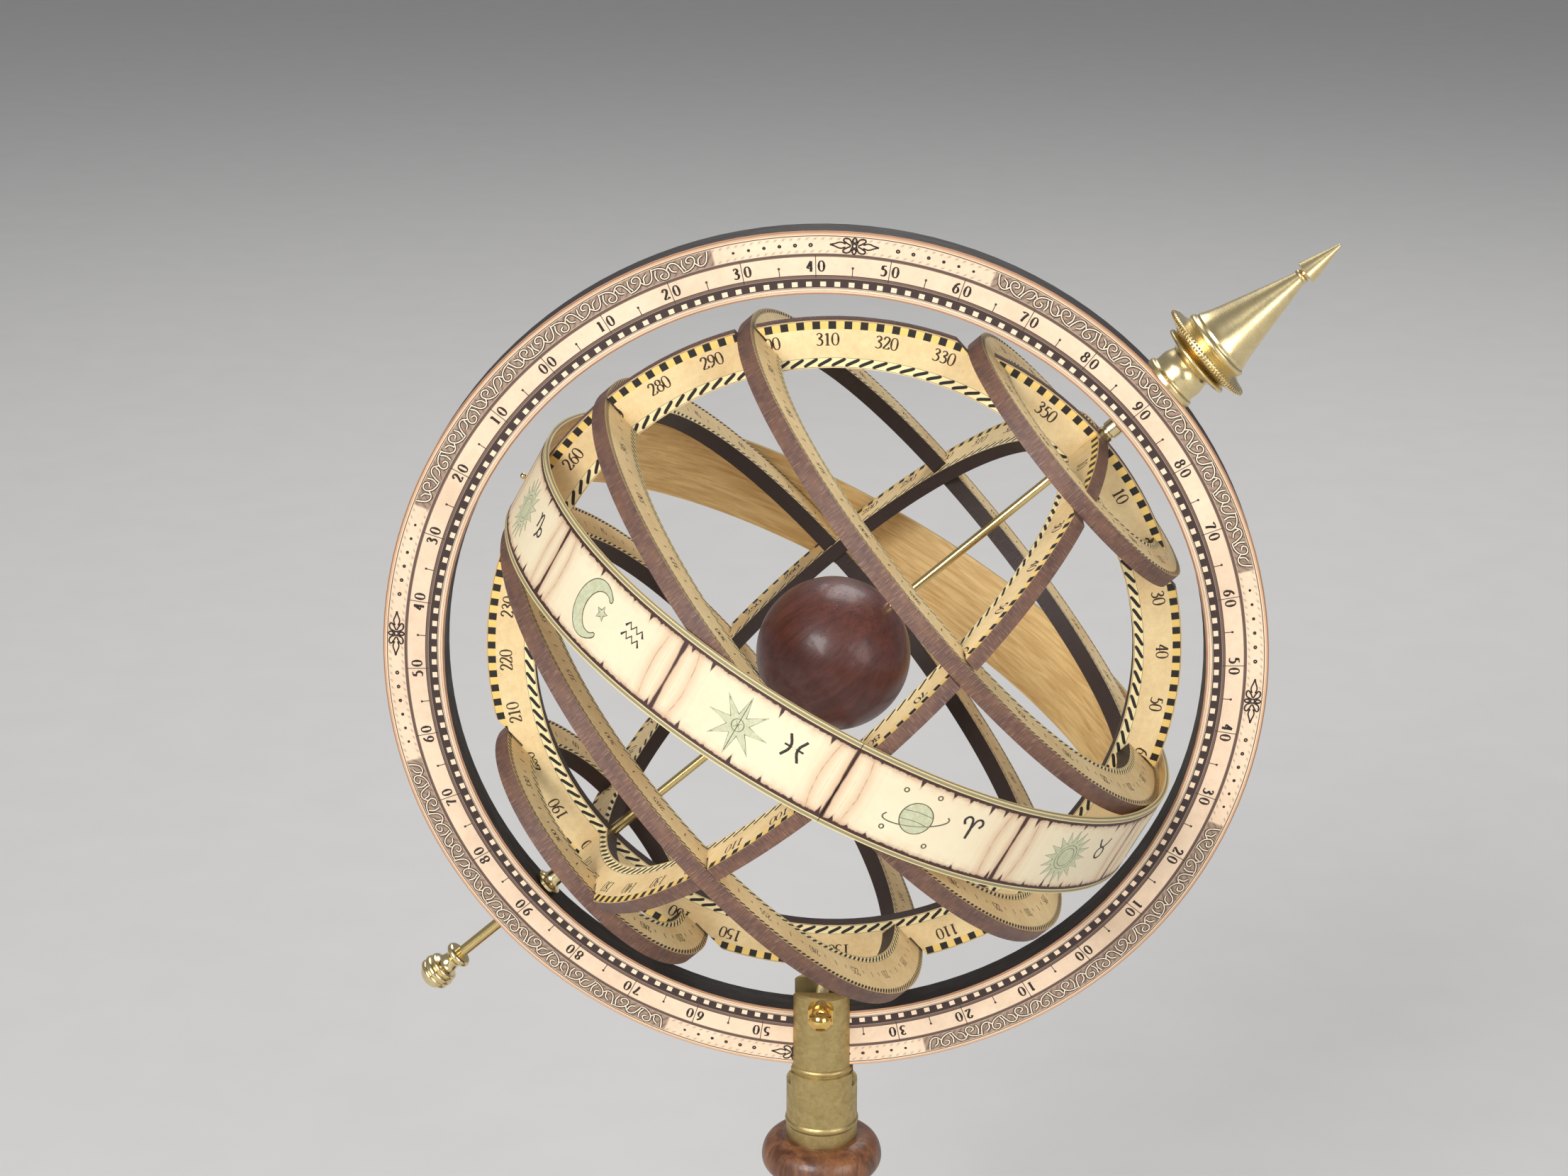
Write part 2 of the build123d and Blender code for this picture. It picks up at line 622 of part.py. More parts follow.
# The knob's own x runs south from the ring's centre
KNOB = Plane(origin=tuple(ring_centre), x_dir=tuple(-north), z_dir=(0, 1, 0))
with BuildPart() as south_knob:
    with BuildSketch(KNOB):
        with BuildLine():
            Polyline((knob_start, 0), (knob_start, KNOB_FLANGE - 0.5))
            RadiusArc(
                (knob_start, KNOB_FLANGE - 0.5),
                (knob_start + KNOB_LENGTH * 0.15, KNOB_FLANGE - 0.5),
                KNOB_LENGTH * 0.082,
            )
            Spline(
                (knob_start + KNOB_LENGTH * 0.15, KNOB_FLANGE - 0.5),
                (knob_start + KNOB_LENGTH * 0.3, KNOB_NECK),
                (knob_start + KNOB_LENGTH * 0.44, KNOB_RADIUS - 1.3),
                tangents=[(0.5, -1), (0.6, 1)],
            )
            RadiusArc(
                (knob_start + KNOB_LENGTH * 0.44, KNOB_RADIUS - 1.3),
                (knob_start + KNOB_LENGTH * 0.56, KNOB_RADIUS - 0.9),
                KNOB_LENGTH * 0.067,
            )
            RadiusArc(
                (knob_start + KNOB_LENGTH * 0.56, KNOB_RADIUS - 0.9),
                (knob_start + KNOB_LENGTH * 0.71, KNOB_RADIUS - 0.6),
                KNOB_LENGTH * 0.082,
            )
            RadiusArc(
                (knob_start + KNOB_LENGTH * 0.71, KNOB_RADIUS - 0.6),
                (knob_start + KNOB_LENGTH * 0.83, KNOB_RADIUS - 0.9),
                KNOB_LENGTH * 0.067,
            )
            Spline(
                (knob_start + KNOB_LENGTH * 0.83, KNOB_RADIUS - 0.9),
                (knob_start + KNOB_LENGTH * 0.94, KNOB_RADIUS * 0.6),
                (knob_start + KNOB_LENGTH, 0),
                tangents=[(0.8, -0.5), (0, -1)],
            )
            Line((knob_start + KNOB_LENGTH, 0), (knob_start, 0))
        make_face()
    revolve(axis=rod_axis)
    drill(FROM_CENTRE.offset(-knob_start + 1), SLEEVE / 2 + FIXED_GAP, -1 - SLEEVE_IN_KNOB - END_GAP)
    drill(FROM_CENTRE.offset(-knob_start + 1), ROD / 2 + FIXED_GAP, -1 - ROD_IN_KNOB - END_GAP)
south_knob.part.label = "south_knob"
export_step(south_knob.part, "parts/south_knob.step")

north_collar_start = CAGE_SHIFT + SPHERE_RADIUS + FIXED_GAP
collar_end = meridian_inner - END_GAP
with BuildPart() as north_collar:
    with BuildSketch(MERIDIAN):
        with BuildLine():
            Polyline(
                (north_collar_start, ROD / 2 + FIXED_GAP),
                (north_collar_start, COLLAR_RADIUS - 0.2),
                (north_collar_start + NORTH_SPACE * 0.22, COLLAR_RADIUS),
                (north_collar_start + NORTH_SPACE * 0.28, COLLAR_RADIUS - 0.4),
                (north_collar_start + NORTH_SPACE * 0.39, COLLAR_RADIUS - 0.4),
                (north_collar_start + NORTH_SPACE * 0.45, COLLAR_RADIUS + 0.1),
                (collar_end - 0.3, COLLAR_RADIUS + 0.1),
                (collar_end, COLLAR_RADIUS - 0.2),
                (collar_end, ROD / 2 + FIXED_GAP),
                (north_collar_start, ROD / 2 + FIXED_GAP),
            )
        make_face()
    revolve(axis=rod_axis)
north_collar.part.label = "north_collar"
export_step(north_collar.part, "parts/north_collar.step")

south_collar_start = SPHERE_RADIUS - CAGE_SHIFT + FIXED_GAP
flange_start = collar_end - COLLAR_LIP
with BuildPart() as south_collar:
    with BuildSketch(KNOB):
        with BuildLine():
            Polyline(
                (south_collar_start, SLEEVE / 2 + FIXED_GAP),
                (south_collar_start, COLLAR_RADIUS),
                (flange_start - 2.0, COLLAR_RADIUS),
            )
            Spline(
                (flange_start - 2.0, COLLAR_RADIUS),
                (flange_start - 0.7, COLLAR_RADIUS + 0.5),
                (flange_start, COLLAR_FLANGE),
                tangents=[(1, 0), (0.4, 1)],
            )
            Polyline(
                (flange_start, COLLAR_FLANGE),
                (collar_end - 0.4, COLLAR_FLANGE),
                (collar_end, COLLAR_FLANGE - 0.4),
                (collar_end, SLEEVE / 2 + FIXED_GAP),
                (south_collar_start, SLEEVE / 2 + FIXED_GAP),
            )
        make_face()
    revolve(axis=rod_axis)
south_collar.part.label = "south_collar"
export_step(south_collar.part, "parts/south_collar.step")

with BuildPart() as earth_ball:
    with BuildSketch(ALONG_ROD):
        with BuildLine():
            CenterArc((0, 0), BALL_RADIUS, 0, 180)
            Line((-BALL_RADIUS, 0), (BALL_RADIUS, 0))
        make_face()
    revolve(axis=rod_axis)
    drill(CAGE.offset(-BALL_RADIUS - 1), ROD / 2 + FIXED_GAP, 2 * BALL_RADIUS + 2)
earth_ball.part.label = "earth_ball"
export_step(earth_ball.part, "parts/earth_ball.step")

collar_seat = sqrt(BALL_RADIUS**2 - (BALL_COLLAR / 2) ** 2) + 0.05
with BuildPart() as ball_collars:
    for side in (-1, 1):
        with BuildSketch(CAGE.offset(side * collar_seat)):
            Circle(BALL_COLLAR / 2)
            Circle(ROD / 2 + FIXED_GAP, mode=Mode.SUBTRACT)
        extrude(amount=side * BALL_COLLAR_LENGTH)
ball_collars.part.label = "ball_collars"
export_step(ball_collars.part, "parts/ball_collars.step")
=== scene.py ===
"""Looks of the armillary sphere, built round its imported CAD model.

The CAD nodes keep their shapes and get their finishes here. The printed work that lies on the
rings, which is numbers, scrolls, signs and emblems, is modelled as thin ink and rides with them.
"""

import logging
import math
from dataclasses import dataclass, field
from enum import Enum
from typing import Any, Sequence

import bpy
import numpy as np
from mathutils import Matrix, Vector


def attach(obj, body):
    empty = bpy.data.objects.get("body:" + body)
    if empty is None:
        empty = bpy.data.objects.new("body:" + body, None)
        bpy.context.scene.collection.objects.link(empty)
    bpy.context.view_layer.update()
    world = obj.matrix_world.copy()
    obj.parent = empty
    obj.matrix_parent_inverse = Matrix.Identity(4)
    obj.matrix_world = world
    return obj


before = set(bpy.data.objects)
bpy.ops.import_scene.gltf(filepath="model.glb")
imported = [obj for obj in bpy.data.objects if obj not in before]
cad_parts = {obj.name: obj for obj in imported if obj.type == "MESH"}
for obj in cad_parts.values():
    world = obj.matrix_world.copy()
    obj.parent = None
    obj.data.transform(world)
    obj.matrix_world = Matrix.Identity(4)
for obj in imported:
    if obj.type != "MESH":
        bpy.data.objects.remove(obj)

log = logging.getLogger("armillary")
MM = 0.001
Point = tuple[float, float]
Colour = tuple[float, float, float, float]

# Where the rings lie, in metres, as the CAD source has them. Shifts are in millimetres
POLE_ELEVATION = math.radians(41.2)
CAGE_TURN = math.radians(2.5)
BAND_TILT = math.radians(20.25)
RING_CENTRE = Vector((0.0, 0.0, 0.285))
NORTH = Vector((math.cos(POLE_ELEVATION), 0.0, math.sin(POLE_ELEVATION)))
UPRIGHT = Vector((-math.sin(POLE_ELEVATION), 0.0, math.cos(POLE_ELEVATION)))
CAGE_A = UPRIGHT * math.cos(CAGE_TURN) - Vector((0.0, 1.0, 0.0)) * math.sin(CAGE_TURN)
CAGE_B = NORTH.cross(CAGE_A)
CAGE_SHIFT = 3.5
BAND_SHIFT = 4.5
CAGE_CENTRE = RING_CENTRE + NORTH * CAGE_SHIFT * MM
BAND_POLE = NORTH * math.cos(BAND_TILT) + CAGE_A * math.sin(BAND_TILT)
BAND_LOW = CAGE_A * math.cos(BAND_TILT) - NORTH * math.sin(BAND_TILT)
BAND_CENTRE = CAGE_CENTRE + BAND_POLE * BAND_SHIFT * MM

# How far printed edges fade, in millimetres, and the share of a band that its slashes fade over
LINE_SOFT = 0.05
BAR_SOFT = 0.06


def tint(red: int, green: int, blue: int) -> Colour:
    """A colour given as it is seen on a screen, 0 to 255, made linear.

    Args:
        red: The red part.
        green: The green part.
        blue: The blue part.

    Returns:
        The linear colour with full alpha.
    """
    parts = [c / 255 for c in (red, green, blue)]
    linear = [c / 12.92 if c < 0.04045 else ((c + 0.055) / 1.055) ** 2.4 for c in parts]
    return (linear[0], linear[1], linear[2], 1.0)


@dataclass(frozen=True)
class Axes:
    """A ring's own directions: its centre, where its angles start and its axis."""

    centre: Vector
    start: Vector
    axis: Vector

    def matrix(self) -> Matrix:
        """Returns the matrix from the ring's own metres to the frame's metres."""
        side = self.axis.cross(self.start)
        turned = Matrix((self.start, side, self.axis)).transposed().to_4x4()
        turned.translation = self.centre
        return turned

    def raised(self, height: float) -> "Axes":
        """Returns the same axes moved along their axis by a height in millimetres."""
        return Axes(self.centre + self.axis * height * MM, self.start, self.axis)


class Wiring:
    """Places shader nodes in a tree and joins them."""

    def __init__(self, tree: bpy.types.NodeTree) -> None:
        """Takes the tree that the nodes go into."""
        self.tree = tree

    def feed(self, socket: bpy.types.NodeSocket, value: Any) -> None:
        """Joins a socket to another one, or sets its value.

        Args:
            socket: The input socket.
            value: An output socket, or a plain value.
        """
        if isinstance(value, bpy.types.NodeSocket):
            self.tree.links.new(value, socket)
        else:
            socket.default_value = value

    def add(self, kind: str, values: dict[Any, Any] | None = None, **settings: Any) -> bpy.types.Node:
        """Adds a node.

        Args:
            kind: The node's type name.
            values: What goes to each of its inputs.
            **settings: The node's own settings.

        Returns:
            The node.
        """
        node = self.tree.nodes.new(kind)
        for key, value in settings.items():
            setattr(node, key, value)
        for key, value in (values or {}).items():
            self.feed(node.inputs[key], value)
        return node

    def maths(self, operation: str, *values: Any, clamp: bool = False) -> bpy.types.NodeSocket:
        """Adds a Math node and returns its result."""
        node = self.add("ShaderNodeMath", dict(enumerate(values)), operation=operation, use_clamp=clamp)
        return node.outputs[0]

    def mix(self, factor: Any, low: Any, high: Any) -> bpy.types.NodeSocket:
        """Mixes two colours and returns the result."""
        node = self.add("ShaderNodeMix", {0: factor, 6: low, 7: high}, data_type="RGBA")
        return node.outputs[2]

    def shade(self, factor: Any, low: Any, high: Any) -> bpy.types.NodeSocket:
        """Multiplies two colours by a factor and returns the result."""
        node = self.add("ShaderNodeMix", {0: factor, 6: low, 7: high}, data_type="RGBA", blend_type="MULTIPLY")
        return node.outputs[2]

    def span(self, value: Any, low: float, high: float, start: float, end: float) -> bpy.types.NodeSocket:
        """Maps a value from one range onto another and returns it."""
        return self.add("ShaderNodeMapRange", {0: value, 1: low, 2: high, 3: start, 4: end}).outputs[0]

    def noise(self, place: Any, scale: float, detail: float = 3.0, rough: float = 0.5) -> bpy.types.NodeSocket:
        """Adds a noise texture and returns its value."""
        values = {"Vector": place, "Scale": scale, "Detail": detail, "Roughness": rough}
        return self.add("ShaderNodeTexNoise", values).outputs[0]

    def group(self, tree: bpy.types.NodeTree, values: dict[str, Any]) -> bpy.types.Node:
        """Adds a node group and feeds its inputs."""
        node = self.add("ShaderNodeGroup", node_tree=tree)
        for key, value in values.items():
            self.feed(node.inputs[key], value)
        return node

    def scaled(self, place: Any, scale: Any) -> bpy.types.NodeSocket:
        """Scales a place and returns it."""
        values = {0: place, "Scale": scale}
        return self.add("ShaderNodeVectorMath", values, operation="SCALE").outputs[0]

    def joined(self, across: Any, along: Any, up: Any = 0.0) -> bpy.types.NodeSocket:
        """Joins three values into a place and returns it."""
        return self.add("ShaderNodeCombineXYZ", {0: across, 1: along, 2: up}).outputs[0]

    def millimetres(self) -> bpy.types.NodeSocket:
        """Returns Object coordinates in millimetres."""
        return self.scaled(self.add("ShaderNodeTexCoord").outputs["Object"], 1.0 / MM)

    def between(self, value: Any, low: Any, high: Any, soft: float) -> bpy.types.NodeSocket:
        """Returns a mask of where a value lies between two limits."""
        values = {"Value": value, "Low": low, "High": high, "Soft": soft}
        return self.group(effects.stripe, values).outputs[0]

    def own_place(self, axes: Axes) -> tuple[bpy.types.NodeSocket, bpy.types.NodeSocket]:
        """Object coordinates in a ring's own millimetres, and how much a face looks along its axis.

        Args:
            axes: The ring's own directions.

        Returns:
            The place, and a mask that is 1 on the ring's flat faces.
        """
        source = self.add("ShaderNodeTexCoord")
        mapping = self.add("ShaderNodeMapping", {"Vector": source.outputs["Object"]}, vector_type="TEXTURE")
        mapping.inputs["Location"].default_value = axes.centre
        mapping.inputs["Rotation"].default_value = axes.matrix().to_euler("XYZ")
        mapping.inputs["Scale"].default_value = (MM, MM, MM)
        ways = {0: source.outputs["Normal"], 1: axes.axis}
        along = self.add("ShaderNodeVectorMath", ways, operation="DOT_PRODUCT")
        flat = self.maths("GREATER_THAN", self.maths("ABSOLUTE", along.outputs["Value"]), 0.7)
        return mapping.outputs[0], flat


def new_group(name: str, inputs: Sequence[str], outputs: Sequence[str]) -> tuple[Wiring, Any, Any]:
    """Starts a shader node group. An input called Vector is a vector, all others are values.

    Args:
        name: The group's name.
        inputs: Names of the inputs.
        outputs: Names of the outputs.

    Returns:
        The wiring, the inputs' sockets and the outputs' sockets.
    """
    tree = bpy.data.node_groups.new(name, "ShaderNodeTree")
    for label in inputs:
        kind = "NodeSocketVector" if label == "Vector" else "NodeSocketFloat"
        tree.interface.new_socket(name=label, in_out="INPUT", socket_type=kind)
    for label in outputs:
        tree.interface.new_socket(name=label, in_out="OUTPUT", socket_type="NodeSocketFloat")
    wiring = Wiring(tree)
    return wiring, wiring.add("NodeGroupInput").outputs, wiring.add("NodeGroupOutput").inputs


@dataclass
class Effects:
    """The shader node groups that the finishes share."""

    polar: bpy.types.NodeTree = field(init=False)
    stripe: bpy.types.NodeTree = field(init=False)
    ticks: bpy.types.NodeTree = field(init=False)
    rope: bpy.types.NodeTree = field(init=False)
    stock: bpy.types.NodeTree = field(init=False)
    streaks: bpy.types.NodeTree = field(init=False)
    age: bpy.types.NodeTree = field(init=False)
    figure: bpy.types.NodeTree = field(init=False)

    def build(self) -> None:
        """Builds every group once."""
        self.polar = self._polar()
        self.stripe = self._stripe()
        self.ticks = self._ticks()
        self.rope = self._rope()
        self.stock = self._stock()
        self.streaks = self._streaks()
        self.age = self._age()
        self.figure = self._figure()

    def _polar(self) -> bpy.types.NodeTree:
        """Radius, angle and height of a place in a ring's own millimetres."""
        w, given, result = new_group("polar_place", ["Vector"], ["Radius", "Degrees", "Height"])
        parts = w.add("ShaderNodeSeparateXYZ", {0: given["Vector"]}).outputs
        squares = w.maths("ADD", w.maths("MULTIPLY", parts[0], parts[0]), w.maths("MULTIPLY", parts[1], parts[1]))
        turn = w.maths("DEGREES", w.maths("ARCTAN2", parts[1], parts[0]))
        w.feed(result["Radius"], w.maths("SQRT", squares))
        w.feed(result["Degrees"], w.maths("WRAP", turn, 360.0, 0.0))
        w.feed(result["Height"], parts[2])
        return w.tree

    def _stripe(self) -> bpy.types.NodeTree:
        """A mask that is 1 while a value lies between two limits."""
        w, given, result = new_group("stripe_mask", ["Value", "Low", "High", "Soft"], ["Mask"])
        rise = w.maths("DIVIDE", w.maths("SUBTRACT", given["Value"], given["Low"]), given["Soft"], clamp=True)
        fall = w.maths("DIVIDE", w.maths("SUBTRACT", given["High"], given["Value"]), given["Soft"], clamp=True)
        w.feed(result["Mask"], w.maths("MULTIPLY", rise, fall))
        return w.tree

    def _ticks(self) -> bpy.types.NodeTree:
        """Short radial bars at even steps round a ring, between two radii."""
        names = ["Degrees", "Radius", "Step", "Phase", "Half Width", "Inner", "Outer"]
        w, given, result = new_group("tick_row", names, ["Mask"])
        turned = w.maths("ADD", given["Degrees"], given["Phase"])
        near = w.maths("PINGPONG", turned, w.maths("DIVIDE", given["Step"], 2.0))
        away = w.maths("MULTIPLY", w.maths("RADIANS", near), given["Radius"])
        bar = w.maths("DIVIDE", w.maths("SUBTRACT", given["Half Width"], away), BAR_SOFT, clamp=True)
        row = w.between(given["Radius"], given["Inner"], given["Outer"], BAR_SOFT)
        w.feed(result["Mask"], w.maths("MULTIPLY", bar, row))
        return w.tree

    def _rope(self) -> bpy.types.NodeTree:
        """Leaning S-shaped slashes in a row between two radii, as a twisted cord is drawn."""
        names = ["Degrees", "Radius", "Step", "Inner", "Outer", "Lean", "Share"]
        w, given, result = new_group("rope_row", names, ["Mask"])
        depth = w.maths("SUBTRACT", given["Outer"], given["Inner"])
        across = w.maths("DIVIDE", w.maths("SUBTRACT", given["Radius"], given["Inner"]), depth, clamp=True)
        wave = w.add("ShaderNodeMapRange", {0: across}, interpolation_type="SMOOTHSTEP").outputs[0]
        lean = w.maths("MULTIPLY", wave, given["Lean"])
        cell = w.maths("FRACT", w.maths("ADD", w.maths("DIVIDE", given["Degrees"], given["Step"]), lean))
        away = w.maths("ABSOLUTE", w.maths("SUBTRACT", cell, 0.5))
        belly = w.maths("POWER", w.maths("SINE", w.maths("MULTIPLY", across, math.pi)), 0.45)
        limit = w.maths("MULTIPLY", w.maths("MULTIPLY", given["Share"], 0.5), belly)
        slash = w.maths("DIVIDE", w.maths("SUBTRACT", limit, away), BAR_SOFT, clamp=True)
        row = w.between(given["Radius"], given["Inner"], given["Outer"], LINE_SOFT)
        w.feed(result["Mask"], w.maths("MULTIPLY", slash, row))
        return w.tree

    def _stock(self) -> bpy.types.NodeTree:
        """Uneven tone, small flecks and a fine tooth, as aged card and veneer have."""
        w, given, result = new_group("aged_stock", ["Vector", "Scale"], ["Tone", "Fleck", "Tooth"])
        place = w.scaled(given["Vector"], given["Scale"])
        broad = w.noise(place, 0.035, 4.0, 0.6)
        fine = w.noise(place, 0.5, 5.0, 0.65)
        tone = w.maths("ADD", w.maths("MULTIPLY", broad, 0.7), w.maths("MULTIPLY", fine, 0.3))
        w.feed(result["Tone"], w.span(tone, 0.36, 0.64, 0.0, 1.0))
        w.feed(result["Fleck"], w.span(w.noise(place, 1.6, 2.0), 0.66, 0.74, 0.0, 1.0))
        w.feed(result["Tooth"], w.noise(place, 6.0, 3.0, 0.7))
        return w.tree

    def _streaks(self) -> bpy.types.NodeTree:
        """Fine streaks across a cut wall, with a slow change of tone round it."""
        w, given, result = new_group("cross_streaks", ["Degrees", "Radius", "Height"], ["Streak", "Patch"])
        arc = w.maths("MULTIPLY", w.maths("RADIANS", given["Degrees"]), given["Radius"])
        fine = w.joined(w.maths("MULTIPLY", arc, 3.2), w.maths("MULTIPLY", given["Height"], 0.22))
        w.feed(result["Streak"], w.span(w.noise(fine, 1.0, 4.0, 0.7), 0.34, 0.68, 0.0, 1.0))
        slow = w.joined(w.maths("MULTIPLY", arc, 0.09), w.maths("MULTIPLY", given["Height"], 0.3))
        w.feed(result["Patch"], w.span(w.noise(slow, 1.0, 4.0, 0.6), 0.35, 0.65, 0.0, 1.0))
        return w.tree

    def _age(self) -> bpy.types.NodeTree:
        """Tarnish clouds, dark pits and fine turning marks on brass."""
        w, given, result = new_group("brass_age", ["Vector", "Scale"], ["Cloud", "Pit", "Mark"])
        place = w.scaled(given["Vector"], given["Scale"])
        clouds = {"Vector": place, "Scale": 0.32, "Detail": 6.0, "Roughness": 0.65, "Distortion": 0.6}
        cloud = w.add("ShaderNodeTexNoise", clouds)
        w.feed(result["Cloud"], w.span(cloud.outputs[0], 0.36, 0.66, 0.0, 1.0))
        pit = w.add("ShaderNodeTexVoronoi", {"Vector": place, "Scale": 0.8}).outputs["Distance"]
        sparse = w.maths("GREATER_THAN", w.noise(place, 0.55, 1.0), 0.56)
        w.feed(result["Pit"], w.maths("MULTIPLY", w.span(pit, 0.08, 0.2, 1.0, 0.0), sparse))
        w.feed(result["Mark"], w.noise(place, 5.0, 4.0, 0.7))
        return w.tree

    def _figure(self) -> bpy.types.NodeTree:
        """Long grain lines, pores and a broad figure for wood whose grain runs along z."""
        w, given, result = new_group("wood_figure", ["Vector", "Stretch"], ["Figure", "Pore", "Grain"])
        parts = w.add("ShaderNodeSeparateXYZ", {0: given["Vector"]}).outputs
        long = w.maths("MULTIPLY", parts[2], given["Stretch"])
        place = w.joined(parts[0], parts[1], long)
        bands = {"Vector": place, "Scale": 0.16, "Detail": 4.0, "Distortion": 1.6}
        rings = w.add("ShaderNodeTexNoise", bands).outputs[0]
        w.feed(result["Figure"], w.span(rings, 0.36, 0.64, 0.0, 1.0))
        w.feed(result["Pore"], w.span(w.noise(place, 1.7, 3.0, 0.6), 0.58, 0.7, 0.0, 1.0))
        w.feed(result["Grain"], w.noise(place, 0.8, 5.0, 0.65))
        return w.tree


effects = Effects()


@dataclass(frozen=True)
class TickRow:
    """A row of bars printed round a ring, in degrees and millimetres."""

    step: float
    phase: float
    half_width: float
    inner: float
    outer: float

    def mask(self, w: Wiring, degrees: Any, radius: Any) -> bpy.types.NodeSocket:
        """Returns the row's mask."""
        values = {"Degrees": degrees, "Radius": radius, "Step": self.step, "Phase": self.phase}
        values |= {"Half Width": self.half_width, "Inner": self.inner, "Outer": self.outer}
        return w.group(effects.ticks, values).outputs[0]


@dataclass(frozen=True)
class RopeRow:
    """A twisted cord printed round a ring, in degrees and millimetres."""

    step: float
    inner: float
    outer: float
    lean: float
    share: float

    def mask(self, w: Wiring, degrees: Any, radius: Any) -> bpy.types.NodeSocket:
        """Returns the cord's mask."""
        values = {"Degrees": degrees, "Radius": radius, "Step": self.step, "Inner": self.inner}
        values |= {"Outer": self.outer, "Lean": self.lean, "Share": self.share}
        return w.group(effects.rope, values).outputs[0]


@dataclass(frozen=True)
class Finish:
    """What every finish has: a name, and a way to start its material."""

    name: str

    def start(self) -> tuple[bpy.types.Material, Wiring, bpy.types.Node]:
        """Starts the material.

        Returns:
            The material, its wiring and its shader.
        """
        material = bpy.data.materials.new(self.name)
        material.use_nodes = True
        return material, Wiring(material.node_tree), material.node_tree.nodes["Principled BSDF"]

    def raise_by(
        self, w: Wiring, shader: bpy.types.Node, height: Any, distance: float, strength: float = 1.0
    ) -> None:
        """Gives the shader a bump from a height.

        Args:
            w: The material's wiring.
            shader: The material's shader.
            height: The height's socket.
            distance: How far a height of 1 stands up, in metres.
            strength: The bump's strength.
        """
        bump = w.add("ShaderNodeBump", {"Height": height, "Distance": distance, "Strength": strength})
        w.feed(shader.inputs["Normal"], bump.outputs[0])


@dataclass(frozen=True)
class ScalePaper(Finish):
    """The printed card of the meridian ring."""

    axes: Axes
    paper: Colour = tint(243, 216, 186)
    aged: Colour = tint(212, 184, 154)
    print_dark: Colour = tint(58, 42, 38)
    print_mid: Colour = tint(112, 88, 76)
    rim: Colour = tint(206, 164, 128)
    scroll_reach: float = 26.9
    ornament: tuple[float, float] = (114.1, 118.5)
    ornament_middle: float = 116.3
    grey_bands: tuple[tuple[float, float], ...] = ((113.15, 114.1), (107.45, 108.4))
    dark_lines: tuple[tuple[float, float], ...] = (
        (118.55, 118.85),
        (113.55, 113.75),
        (113.95, 114.1),
        (108.15, 108.4),
        (104.75, 104.95),
        (104.05, 104.2),
    )
    black_band: tuple[float, float] = (105.0, 107.5)
    rims: tuple[tuple[float, float], ...] = ((119.05, 125.0), (90.0, 103.85))
    squares: TickRow = TickRow(2.0, 1.0, 0.78, 105.3, 106.65)
    ticks: tuple[TickRow, ...] = (
        TickRow(10.0, 0.0, 0.14, 107.5, 113.6),
        TickRow(10.0, 5.0, 0.15, 108.2, 110.5),
        TickRow(10.0, 5.0, 0.33, 110.1, 110.75),
    )

    def material(self) -> bpy.types.Material:
        """Returns the card's material."""
        made, w, shader = self.start()
        place, _ = w.own_place(self.axes)
        polar = w.group(effects.polar, {"Vector": place}).outputs
        stock = w.group(effects.stock, {"Vector": place, "Scale": 1.0}).outputs
        radius, degrees = polar["Radius"], polar["Degrees"]
        colour = w.mix(w.maths("MULTIPLY", stock["Tone"], 0.75), self.paper, self.aged)
        colour = w.mix(w.maths("MULTIPLY", stock["Fleck"], 0.25), colour, self.print_mid)

        quarter = w.maths("PINGPONG", degrees, 45.0)
        scrolls = w.between(quarter, -1.0, self.scroll_reach, 0.3)
        lean = w.maths("ADD", w.maths("MULTIPLY", degrees, 2.6), w.maths("MULTIPLY", radius, 1.1))
        hatching = w.span(w.maths("SINE", w.maths("MULTIPLY", lean, 2.4)), 0.1, 0.8, 0.0, 1.0)
        ornament = w.between(radius, *self.ornament, 0.12)
        ground = w.maths("MULTIPLY", ornament, scrolls)
        ground = w.maths("MULTIPLY", ground, w.span(hatching, 0.0, 1.0, 0.72, 0.9))
        colour = w.mix(ground, colour, self.print_mid)
        away = w.maths("ABSOLUTE", w.maths("SUBTRACT", radius, self.ornament_middle))
        edge = w.between(away, 1.15, 2.2, 0.5)
        light = w.maths("MULTIPLY", ornament, w.maths("SUBTRACT", 1.0, scrolls))
        light = w.maths("MULTIPLY", w.maths("MULTIPLY", light, edge), hatching)
        colour = w.mix(w.maths("MULTIPLY", light, 0.5), colour, self.print_mid)

        for low, high in self.grey_bands:
            colour = w.mix(w.between(radius, low, high, 0.1), colour, self.print_mid)
        for low, high in self.dark_lines:
            colour = w.mix(w.between(radius, low, high, 0.07), colour, self.print_dark)
        colour = w.mix(w.between(radius, *self.black_band, 0.08), colour, self.print_dark)
        colour = w.mix(self.squares.mask(w, degrees, radius), colour, self.paper)
        for row in self.ticks:
            colour = w.mix(row.mask(w, degrees, radius), colour, self.print_dark)
        for low, high in self.rims:
            colour = w.mix(w.between(radius, low, high, 0.1), colour, self.rim)
        w.feed(shader.inputs["Base Color"], colour)
        w.feed(shader.inputs["Roughness"], w.span(stock["Tone"], 0.0, 1.0, 0.5, 0.66))
        self.raise_by(w, shader, stock["Tooth"], 0.00003)
        return made


